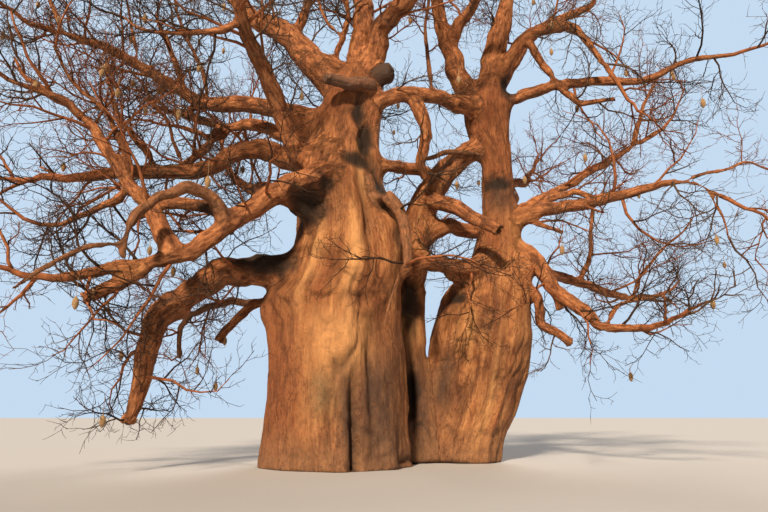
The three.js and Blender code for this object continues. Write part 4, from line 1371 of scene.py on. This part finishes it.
class Twigs:
    """Paths of twigs, kept by how many points and sides each has."""

    def __init__(self):
        self.paths = {}

    def add(self, points, base, tip, sides):
        self.paths.setdefault((len(points), sides), []).append((points, base, tip))

    def add_all(self, twigs):
        for kind, rows in twigs.paths.items():
            self.paths.setdefault(kind, []).extend(rows)

    def triangles(self):
        return sum(
            len(rows) * (2 * sides * (points - 1) + 2 * (sides - 2))
            for (points, sides), rows in self.paths.items()
        )

    def grow_fine(self, path, base, tip, random):
        """Fine twigs along a coarser one, each with the finest ones on it."""
        length = sum((b - a).length for a, b in zip(path, path[1:]))
        count = max(2, int(length / FINE_SPACING))
        side = random.draw(0, 360)
        for number in range(count):
            place = lerp(FINE_FIRST, 1.0, (number + random.draw(0.2, 0.8)) / count)
            start, course = point_on(path, min(place, FINE_LAST))
            side += random.draw(*FINE_SIDE_STEP)
            heading = turned(course, random.draw(*FINE_TURN), side)
            reach = random.draw(*FINE_LENGTH) * lerp(*FINE_LENGTHS, place)
            fine = grow_path(start, heading, reach, FINE_STEPS, FINE_CROOK, FINE_LIFT, random)
            if not inside_box(fine):
                continue
            radius = min(FINE_RADIUS * random.draw(*FINE_CHANCE), lerp(base, tip, place) * FINE_MOST)
            self.add(fine, radius, FINEST_RADIUS * FINE_TIP, FINE_SIDES)
            self.grow_finest(fine, random)

    def grow_finest(self, fine, random):
        side = random.draw(0, 360)
        for child in range(FINEST_CHILDREN):
            start, course = point_on(fine, lerp(*FINEST_PLACES, child / (FINEST_CHILDREN - 1)))
            side += random.draw(*FINEST_SIDE_STEP)
            heading = turned(course, random.draw(*FINEST_TURN), side)
            reach = random.draw(*FINEST_LENGTH)
            finest = grow_path(start, heading, reach, FINEST_STEPS, FINE_CROOK, FINE_LIFT, random)
            if inside_box(finest):
                self.add(finest, FINEST_RADIUS, FINEST_RADIUS * FINEST_TIP, FINE_SIDES)

    def mesh(self, name):
        """Thin closed tubes for every twig."""
        corners, faces, first = [], [], 0
        for (number, sides), rows in self.paths.items():
            skin = twig_corners(rows, number, sides)
            start = first + np.arange(len(rows))[:, None, None] * number * sides
            corners.append(skin.reshape(-1, 3))
            fan = np.array([(0, side + 1, side) for side in range(1, sides - 1)])
            last = (number - 1) * sides
            for part in (*halved(ring_grid(number, sides)), fan, last + fan[:, ::-1]):
                faces.append((start + part[None]).reshape(-1, 3))
            first += len(rows) * number * sides
        return mesh_from_arrays(name, np.vstack(corners), np.vstack(faces))


def twig_corners(rows, number, sides):
    """The rings of corners round twigs that all have the same number of points."""
    points = np.array([[tuple(point) for point in path] for path, _, _ in rows])
    base = np.array([row[1] for row in rows])[:, None]
    tip = np.array([row[2] for row in rows])[:, None]
    radii = (base + (tip - base) * np.linspace(0, 1, number)[None, :])[:, :, None]
    courses = np.gradient(points, axis=1)
    courses /= np.linalg.norm(courses, axis=2)[:, :, None]
    level = np.where(np.abs(courses[:, :1, 2:]) < 0.95, [[[0, 0, 1.0]]], [[[1.0, 0, 0]]])
    across = np.cross(courses, np.broadcast_to(level, courses.shape))
    across /= np.linalg.norm(across, axis=2)[:, :, None]
    other = np.cross(courses, across)
    angles = ring_angles(sides)
    return (
        points[:, :, None]
        + across[:, :, None] * (radii * np.cos(angles))[..., None]
        + other[:, :, None] * (radii * np.sin(angles))[..., None]
    )


class Crown:
    """Grows every mass of twigs, and the shoots along the limbs."""

    def __init__(self, limbs):
        self.limbs = limbs
        self.wood = Wood()
        self.sprays = []
        self.leaders = Twigs()
        self.pods = []
        self.branches = 0
        for name in [*STEMS, *BOUGHS]:
            limb = limbs[name]
            steps = STEM_WOOD_STEPS if name in STEMS else (len(limb.points) - 1) * WOOD_STEPS
            places = np.linspace(0, 1, steps + 1)
            room = FOLD_ROOM if name in STEMS else 1
            self.wood.record(smooth_line(limb.points, places), limb.radius(places) * room, name)

    def grow_mass(self, name, reach, seed):
        """The mass at a bough's tip: its coarse twigs by the source's rule, then the finer ones."""
        start, heading = self.limbs[name].at(1.0)
        radius = self.limbs[name].radii[1]
        self.space = (name, start + heading * reach * TWIG_SPACE_MIDDLE, reach * TWIG_SPACE_RADIUS)
        coarse = []
        first = (start, heading, reach * TWIG_STEM_SHARE, radius * TWIG_BASE_SHARE)
        self.grow_twig(coarse, *first, 0, seed)
        for points, _, _ in coarse[len(coarse) - MASS_PODS.get(name, 0):]:
            self.pods.append(points[-2].lerp(points[-1], 0.8))
        random = Random(seed + 5)
        twigs = Twigs()
        for points, base, level in coarse:
            path = crooked(points, random)
            if level == 0:
                base = radius
                path = [points[0] - heading * LEADER_FOOT, *path]
            tip = base * (LEADER_TIP if level == 0 else SIDE_TIP)
            self.add_thick(twigs, path, base, max(tip, THINNEST_TIP))
            twigs.grow_fine(path, base, tip, random)
        self.sprays.append((name.replace("bough", "twigs"), twigs))
        for points, base, _ in coarse:
            line = smooth_line([tuple(point) for point in points], np.linspace(0, 1, WOOD_STEPS + 1))
            self.wood.record(line, [base] * len(line), name)

    def add_thick(self, twigs, path, base, tip):
        """Puts a twig that is thick at its foot among the leaders, whose bark is as brown as a bough's."""
        leads = base > LEADER_RADIUS
        (self.leaders if leads else twigs).add(path, base, tip, LEADER_SIDES if leads else COARSE_SIDES)

    def grow_twig(self, coarse, start, heading, length, radius, level, seed):
        """One coarse twig and those on it, each left out where it has no room."""
        steps, children = COARSE_LEVELS[level]
        random = Random(seed)
        points, headings = [start], []
        course = heading
        for _ in range(steps):
            course = turned(course, random.draw(*TWIG_CROOK), random.draw(0, 360))
            course = (course + UP * TWIG_LIFT).normalized()
            headings.append(course)
            points.append(points[-1] + course * (length / steps))
        base = max(radius, END_TWIG_RADIUS)
        name, middle, room = self.space
        tested = points[1:] if level == 0 else points
        if any((point - middle).length >= room or point.z <= MIN_HEIGHT for point in tested):
            return
        if self.wood.touches(tested, base, name if level == 0 else None):
            return
        coarse.append((points, base, level))
        side = random.draw(0, 360)
        for child in range(children):
            place = lerp(*TWIG_CHILD_PLACES, child / (children - 1))
            along = place * steps
            index = min(int(along), steps - 1)
            begin = points[index].lerp(points[index + 1], along - index)
            side += random.draw(*TWIG_SIDE_STEP)
            way = turned(headings[index], random.draw(*TWIG_TURN), side)
            thickness = base * lerp(1, TWIG_TAPER, place) * TWIG_THINNING
            share = lerp(*TWIG_CHILD_LENGTHS, place) * random.draw(*TWIG_CHANCE)
            seeded = child_seed(seed, child)
            self.grow_twig(coarse, begin, way, length * share, thickness, level + 1, seeded)

    def grow_shoot(self, twigs, owner, start, heading, length, base, random):
        """A long crooked shoot with branches, which bear the fine twigs and the fruit."""
        path = grow_path(start, heading, length, SHOOT_STEPS, SHOOT_CROOK, SHOOT_LIFT, random)
        if not inside_box(path) or self.wood.touches(path[1:], base, owner):
            return
        self.add_thick(twigs, path, base, SHOOT_TIP_RADIUS)
        twigs.grow_fine(path[1:], base, SHOOT_TIP_RADIUS, random)
        side = random.draw(0, 360)
        for child in range(BRANCHES):
            place = lerp(*BRANCH_PLACES, child / (BRANCHES - 1))
            begin, course = point_on(path, place)
            side += random.draw(*TWIG_SIDE_STEP)
            way = turned(course, random.draw(*TWIG_TURN), side)
            reach = length * lerp(*BRANCH_LENGTHS, place) * random.draw(*TWIG_CHANCE)
            branch = grow_path(begin, way, reach, BRANCH_STEPS, SHOOT_CROOK, BRANCH_LIFT, random)
            if not inside_box(branch):
                continue
            thickness = lerp(base, SHOOT_TIP_RADIUS, place) * BRANCH_BASE
            tip = SHOOT_TIP_RADIUS * BRANCH_TIP
            twigs.add(branch, thickness, tip, BRANCH_SIDES)
            twigs.grow_fine(branch, thickness, tip, random)
            self.branches += 1
            if self.branches % POD_EVERY == 0:
                self.pods.append(branch[-2].lerp(branch[-1], 0.5))

    def grow_shoots(self, name):
        """Shoots along a limb, longer where it is thick, and one from the tip where nothing else is."""
        limb = self.limbs[name]
        random = Random(name_seed(name) * SHOOT_SEEDS)
        twigs = Twigs()
        middle = limb.points[len(limb.points) // 2]
        openness = min(1, max(0, (middle[0] - DENSE_FROM) / (OPEN_FROM - DENSE_FROM)))
        spacing = lerp(SHOOT_SPACING_LEFT, SHOOT_SPACING_RIGHT, openness)
        count = max(1, int(limb.length * (1 - SHOOT_FIRST) / spacing))
        side = random.draw(0, 360)
        for number in range(count):
            place = lerp(SHOOT_FIRST, SHOOT_LAST, (number + random.draw(0.1, 0.9)) / count)
            start, course = limb.at(place)
            side += random.draw(*SHOOT_SIDE_STEP)
            heading = turned(course, random.draw(*SHOOT_TURN), side)
            heading = (heading + UP * SHOOT_RISE).normalized()
            room = limb.radius_at(place)
            length = random.draw(*SHOOT_LENGTH) * min(1, SHOOT_THIN + room * SHOOT_THICK)
            base = min(room * SHOOT_MOST, SHOOT_BASE + SHOOT_BASE_GROWTH * length)
            self.grow_shoot(twigs, name, start, heading, length, base, random)
        if name not in BLUNT_LIMBS | JOINED_LIMBS | set(MASS_REACH):
            tip, course = limb.at(1.0)
            base = limb.radius_at(1.0) * END_SHOOT_BASE
            start = tip - course * END_SHOOT_FOOT
            self.grow_shoot(twigs, name, start, course, random.draw(*END_SHOOT_LENGTH), base, random)
        self.sprays.append((name, twigs))


def make_crown(limbs):
    crown = Crown(limbs)
    for index, (name, reach) in enumerate(MASS_REACH.items()):
        crown.grow_mass(name, reach, FIRST_SEED * (index + 1))
    for name in ALL_LIMBS:
        if name not in BARE_LIMBS:
            crown.grow_shoots(name)
    return crown


def in_batches(sprays):
    """The sprays in runs that each make a piece of not too many triangles."""
    batches, size = [[]], 0
    for spray in sprays:
        size += spray[1].triangles()
        if size > TWIG_PIECE_LIMIT:
            batches.append([])
            size = spray[1].triangles()
        batches[-1].append(spray)
    return batches


def make_twig_pieces(crown, materials):
    """Joins the sprays into pieces, each in one of a few colours of bark, one of them painted shade."""
    for colour, material in enumerate(materials):
        for number, batch in enumerate(in_batches(crown.sprays[colour::len(materials)])):
            joined = Twigs()
            for _, twigs in batch:
                joined.add_all(twigs)
            name = f"twigs_{colour}_{number}"
            replaced = [spray[0] for spray in batch if spray[0].startswith("twigs_")]
            add_object(name, joined.mesh(name), material, replaced)


def make_leaders(crown, material):
    """The thick twigs of every spray, in one piece."""
    add_object("twig_leaders", crown.leaders.mesh("twig_leaders"), material)


def make_pods(crown, material):
    """Velvety pods with blunt ends, each on a straight stalk."""
    heights = np.linspace(0, 1, POD_RINGS)
    outline = np.sin(np.pi * heights) ** POD_BLUNTNESS
    outline[[0, -1]] = POD_END
    angles = ring_angles(POD_SIDES)
    ring = np.stack([np.cos(angles), np.sin(angles)], 1)
    grid = ring_grid(POD_RINGS + 1, POD_SIDES)[:, ::-1]
    random = Random(POD_SEED)
    corners, faces = [], []
    for number, tip in enumerate(crown.pods):
        length = random.draw(*POD_LENGTH)
        top = tip.z - random.draw(*POD_STALK)
        levels = [tip.z, *(top - heights * length)]
        radii = [STALK_RADIUS, STALK_RADIUS, *(outline[1:] * length * POD_SHAPE)]
        for level, radius in zip(levels, radii):
            corners.append(np.column_stack([(tip.x, tip.y) + ring * radius, np.full(POD_SIDES, level)]))
        faces.append(grid + number * (POD_RINGS + 1) * POD_SIDES)
    mesh = mesh_from_arrays("pods", np.vstack(corners), np.vstack(faces))
    add_object("pods", mesh, material)


def new_material(name):
    material = bpy.data.materials.new(name)
    material.use_nodes = True
    tree = material.node_tree
    return material, tree, tree.nodes["Principled BSDF"]


def attribute(tree, name, output="Fac"):
    node = tree.nodes.new("ShaderNodeAttribute")
    node.attribute_name = name
    return node.outputs[output]


def object_place(tree):
    return tree.nodes.new("ShaderNodeTexCoord").outputs["Object"]


def stretched_noise(tree, vector, scale, stretch, detail, roughness=0.55):
    mapping = tree.nodes.new("ShaderNodeMapping")
    mapping.inputs["Scale"].default_value = (scale, scale, scale * stretch)
    tree.links.new(vector, mapping.inputs["Vector"])
    texture = tree.nodes.new("ShaderNodeTexNoise")
    texture.inputs["Scale"].default_value = 1
    texture.inputs["Detail"].default_value = detail
    texture.inputs["Roughness"].default_value = roughness
    tree.links.new(mapping.outputs["Vector"], texture.inputs["Vector"])
    return texture.outputs["Fac"]


def ramp(tree, value, stops):
    node = tree.nodes.new("ShaderNodeValToRGB")
    elements = node.color_ramp.elements
    while len(elements) < len(stops):
        elements.new(0.5)
    for element, (place, colour) in zip(elements, stops):
        element.position = place
        element.color = (*colour, 1)
    tree.links.new(value, node.inputs["Fac"])
    return node.outputs["Color"]


def mix(tree, share, first, second):
    """A blend of two colours, each a socket or a plain colour, by a share."""
    node = tree.nodes.new("ShaderNodeMix")
    node.data_type = "RGBA"
    tree.links.new(share, node.inputs[0])
    for colour, place in ((first, 6), (second, 7)):
        if isinstance(colour, bpy.types.NodeSocket):
            tree.links.new(colour, node.inputs[place])
        else:
            node.inputs[place].default_value = (*colour, 1)
    return node.outputs[2]


def layered(tree, colour, layers):
    """Colours laid over each other, each by its own share."""
    for share, shade in layers:
        colour = mix(tree, share, colour, shade)
    return colour


def scaled(tree, value, low, high, to_low=0.0, to_high=1.0):
    node = tree.nodes.new("ShaderNodeMapRange")
    for name, number in zip(("From Min", "From Max", "To Min", "To Max"), (low, high, to_low, to_high)):
        node.inputs[name].default_value = number
    tree.links.new(value, node.inputs["Value"])
    return node.outputs["Result"]


def product(tree, first, second):
    node = tree.nodes.new("ShaderNodeMath")
    node.operation = "MULTIPLY"
    tree.links.new(first, node.inputs[0])
    tree.links.new(second, node.inputs[1])
    return node.outputs[0]


def bumped(tree, height, strength, distance, before=None):
    """The normal of a surface with small bumps, added to those before."""
    node = tree.nodes.new("ShaderNodeBump")
    node.inputs["Strength"].default_value = strength
    node.inputs["Distance"].default_value = distance
    tree.links.new(height, node.inputs["Height"])
    if before:
        tree.links.new(before, node.inputs["Normal"])
    return node.outputs["Normal"]


def bark_material():
    """Smooth tan bark, redder and rougher on the boughs, with grey, pale and red places and painted shade.
    """
    material, tree, shader = new_material("bark")
    grain = attribute(tree, "grain", "Vector")
    crease, worn, tone = (attribute(tree, name) for name in ("crease", "worn", "tone"))
    grey, lichen, pale, red = (attribute(tree, name) for name in TINT_NAMES)
    streaks = stretched_noise(tree, grain, 3.6, 0.14, 7, 0.66)
    fibres = stretched_noise(tree, grain, 12, 0.09, 7, 0.74)
    mottle = stretched_noise(tree, grain, 7.5, 0.32, 7, 0.72)
    blotches = stretched_noise(tree, object_place(tree), 0.9, 0.5, 7, 0.66)
    speckle = stretched_noise(tree, grain, 15, 0.6, 5, 0.7)
    crags = stretched_noise(tree, grain, 5.5, 0.55, 6, 0.68)
    cracks = ramp(tree, stretched_noise(tree, grain, 6, 0.2, 3, 0.6), CRACK_STOPS)
    ragged = scaled(tree, speckle, 0.35, 0.6, 0.35, 1)
    rough = product(tree, scaled(tree, crags, 0.48, 0.34, 0, 0.55), scaled(tree, tone, 0, 1, 0.35, 1))
    bright = product(tree, scaled(tree, crags, 0.54, 0.72, 0, 0.6), scaled(tree, tone, 0, 1, 0.4, 1))
    stem = ramp(tree, streaks, [(0.34, STEM_DARK), (0.47, STEM_MIDDLE), (0.64, STEM_LIGHT)])
    stem = layered(tree, stem, [
        (scaled(tree, fibres, 0.49, 0.38, 0, 0.9), STEM_FIBRE_DARK),
        (scaled(tree, fibres, 0.54, 0.66, 0, 0.5), BARK_PALE),
    ])
    bough = ramp(tree, mottle, [(0.38, BOUGH_DARK), (0.49, BOUGH_MIDDLE), (0.62, BOUGH_LIGHT)])
    colour = layered(tree, mix(tree, tone, stem, bough), [
        (scaled(tree, blotches, 0.5, 0.66, 0, 0.6), BARK_BROWN),
        (scaled(tree, blotches, 0.44, 0.3, 0, 0.55), BARK_GOLD),
        (product(tree, red, scaled(tree, streaks, 0.3, 0.6, 0.35, 0.95)), BARK_RED),
        # grey stains, and painted shade and shadows in some grey places
        (product(tree, grey, scaled(tree, blotches, 0.3, 0.55, 0.55, 1)), GREY_STAIN_AND_SHADOW),
        (product(tree, lichen, ragged), LICHEN),
        (product(tree, worn, ragged), BARK_WORN),
        (product(tree, cracks, scaled(tree, blotches, 0.4, 0.6, 0.1, 0.8)), BARK_CRACK),
        (rough, BARK_SPECK),
        (bright, BARK_ORANGE),
        (scaled(tree, speckle, 0.55, 0.7, 0, 0.6), BARK_SPECK),
        (product(tree, pale, scaled(tree, blotches, 0.62, 0.42, 0.5, 0.95)), BARK_PALE),
        # painted shade in creases, grooves, hollows, under the boughs and on shaded limbs
        (scaled(tree, crease, 0, 1, 0, 0.97), PAINTED_SHADE_DARK),
    ])
    tree.links.new(colour, shader.inputs["Base Color"])
    tree.links.new(scaled(tree, speckle, 0.3, 0.7, 0.6, 0.92), shader.inputs["Roughness"])
    shader.inputs["Specular IOR Level"].default_value = 0.3
    wrinkles = bumped(tree, stretched_noise(tree, grain, 7, 0.22, 8, 0.7), 0.9, 0.12)
    lumps = bumped(tree, crags, 0.7, 0.12, wrinkles)
    grooves = bumped(tree, fibres, 0.8, 0.06, lumps)
    pits = bumped(tree, stretched_noise(tree, grain, 34, 0.7, 4), 0.5, 0.015, grooves)
    tree.links.new(pits, shader.inputs["Normal"])
    return material


def dead_wood_material():
    """Weathered grey-brown wood with long fine splits, and painted shade in its creases and on the knob.
    """
    material, tree, shader = new_material("dead_wood")
    grain = attribute(tree, "grain", "Vector")
    fibres = stretched_noise(tree, grain, 15, 0.1, 5, 0.65)
    patches = stretched_noise(tree, grain, 3, 0.5, 5, 0.65)
    wood = ramp(tree, fibres, [(0.3, DEAD_DARK), (0.52, DEAD_MIDDLE), (0.72, DEAD_LIGHT)])
    colour = layered(tree, wood, [
        (scaled(tree, patches, 0.45, 0.65, 0, 0.7), BARK_BROWN),
        # painted shade in the creases, and all over the shaded knob
        (scaled(tree, attribute(tree, "crease"), 0, 1, 0, 0.95), PAINTED_SHADE_DARK),
    ])
    tree.links.new(colour, shader.inputs["Base Color"])
    tree.links.new(scaled(tree, fibres, 0.3, 0.7, 0.75, 0.95), shader.inputs["Roughness"])
    splits = bumped(tree, fibres, 0.8, 0.03, bumped(tree, patches, 0.8, 0.06))
    tree.links.new(splits, shader.inputs["Normal"])
    return material


def twig_material(name, colour):
    """Thin bark in nearly one colour, a little mottled."""
    material, tree, shader = new_material(name)
    mottle = stretched_noise(tree, object_place(tree), 5, 1, 2)
    dark = tuple(value * 0.7 for value in colour)
    light = tuple(value * 1.3 for value in colour)
    tree.links.new(ramp(tree, mottle, [(0.35, dark), (0.65, light)]), shader.inputs["Base Color"])
    shader.inputs["Roughness"].default_value = 0.85
    shader.inputs["Specular IOR Level"].default_value = 0.25
    return material


def pod_material():
    """The short dense velvet of the fruit."""
    material, tree, shader = new_material("pod_velvet")
    nap = stretched_noise(tree, object_place(tree), 40, 0.6, 3)
    tree.links.new(ramp(tree, nap, [(0.3, POD_SHADE), (0.7, POD_LIGHT)]), shader.inputs["Base Color"])
    tree.links.new(bumped(tree, nap, 0.4, 0.006), shader.inputs["Normal"])
    shader.inputs["Roughness"].default_value = 0.95
    shader.inputs["Sheen Weight"].default_value = 0.4
    return material


def make_floor():
    bpy.ops.mesh.primitive_plane_add(size=FLOOR_SIZE)
    floor = bpy.context.object
    floor.name = "floor"
    material, _, shader = new_material("floor")
    shader.inputs["Base Color"].default_value = (*FLOOR_COLOUR, 1)
    shader.inputs["Roughness"].default_value = 0.95
    floor.data.materials.append(material)


def make_surroundings():
    """A pale sky behind the tree, and a dimmer soft light from all round."""
    world = bpy.data.worlds.new("surroundings")
    bpy.context.scene.world = world
    world.use_nodes = True
    tree = world.node_tree
    soft = tree.nodes["Background"]
    soft.inputs["Color"].default_value = (*SOFT_LIGHT, 1)
    sky = tree.nodes.new("ShaderNodeBackground")
    sky.inputs["Color"].default_value = (*SKY_COLOUR, 1)
    seen = tree.nodes.new("ShaderNodeLightPath")
    either = tree.nodes.new("ShaderNodeMixShader")
    tree.links.new(seen.outputs["Is Camera Ray"], either.inputs[0])
    tree.links.new(soft.outputs[0], either.inputs[1])
    tree.links.new(sky.outputs[0], either.inputs[2])
    tree.links.new(either.outputs[0], tree.nodes["World Output"].inputs["Surface"])


def make_lamps():
    for name, (heading, rise, width, strength, colour) in LAMPS.items():
        data = bpy.data.lights.new(name, "SUN")
        data.energy = strength
        data.angle = math.radians(width)
        data.color = colour
        lamp = bpy.data.objects.new(name, data)
        towards = Vector(direction(heading, rise))
        lamp.rotation_euler = towards.to_track_quat("Z", "Y").to_euler()
        bpy.context.scene.collection.objects.link(lamp)


bpy.context.scene.view_settings.view_transform = "Standard"
make_camera()
tree_limbs = make_limbs()
bark = bark_material()
make_stems(tree_limbs, bark)
make_boughs(tree_limbs, bark)
make_stubs(tree_limbs, (dead_wood_material(), bark))
tree_crown = make_crown(tree_limbs)
make_twig_pieces(tree_crown, [twig_material(name, colour) for name, colour in TWIG_COLOURS.items()])
make_leaders(tree_crown, twig_material("twig_leader", LEADER_COLOUR))
make_pods(tree_crown, pod_material())
make_floor()
make_surroundings()
make_lamps()
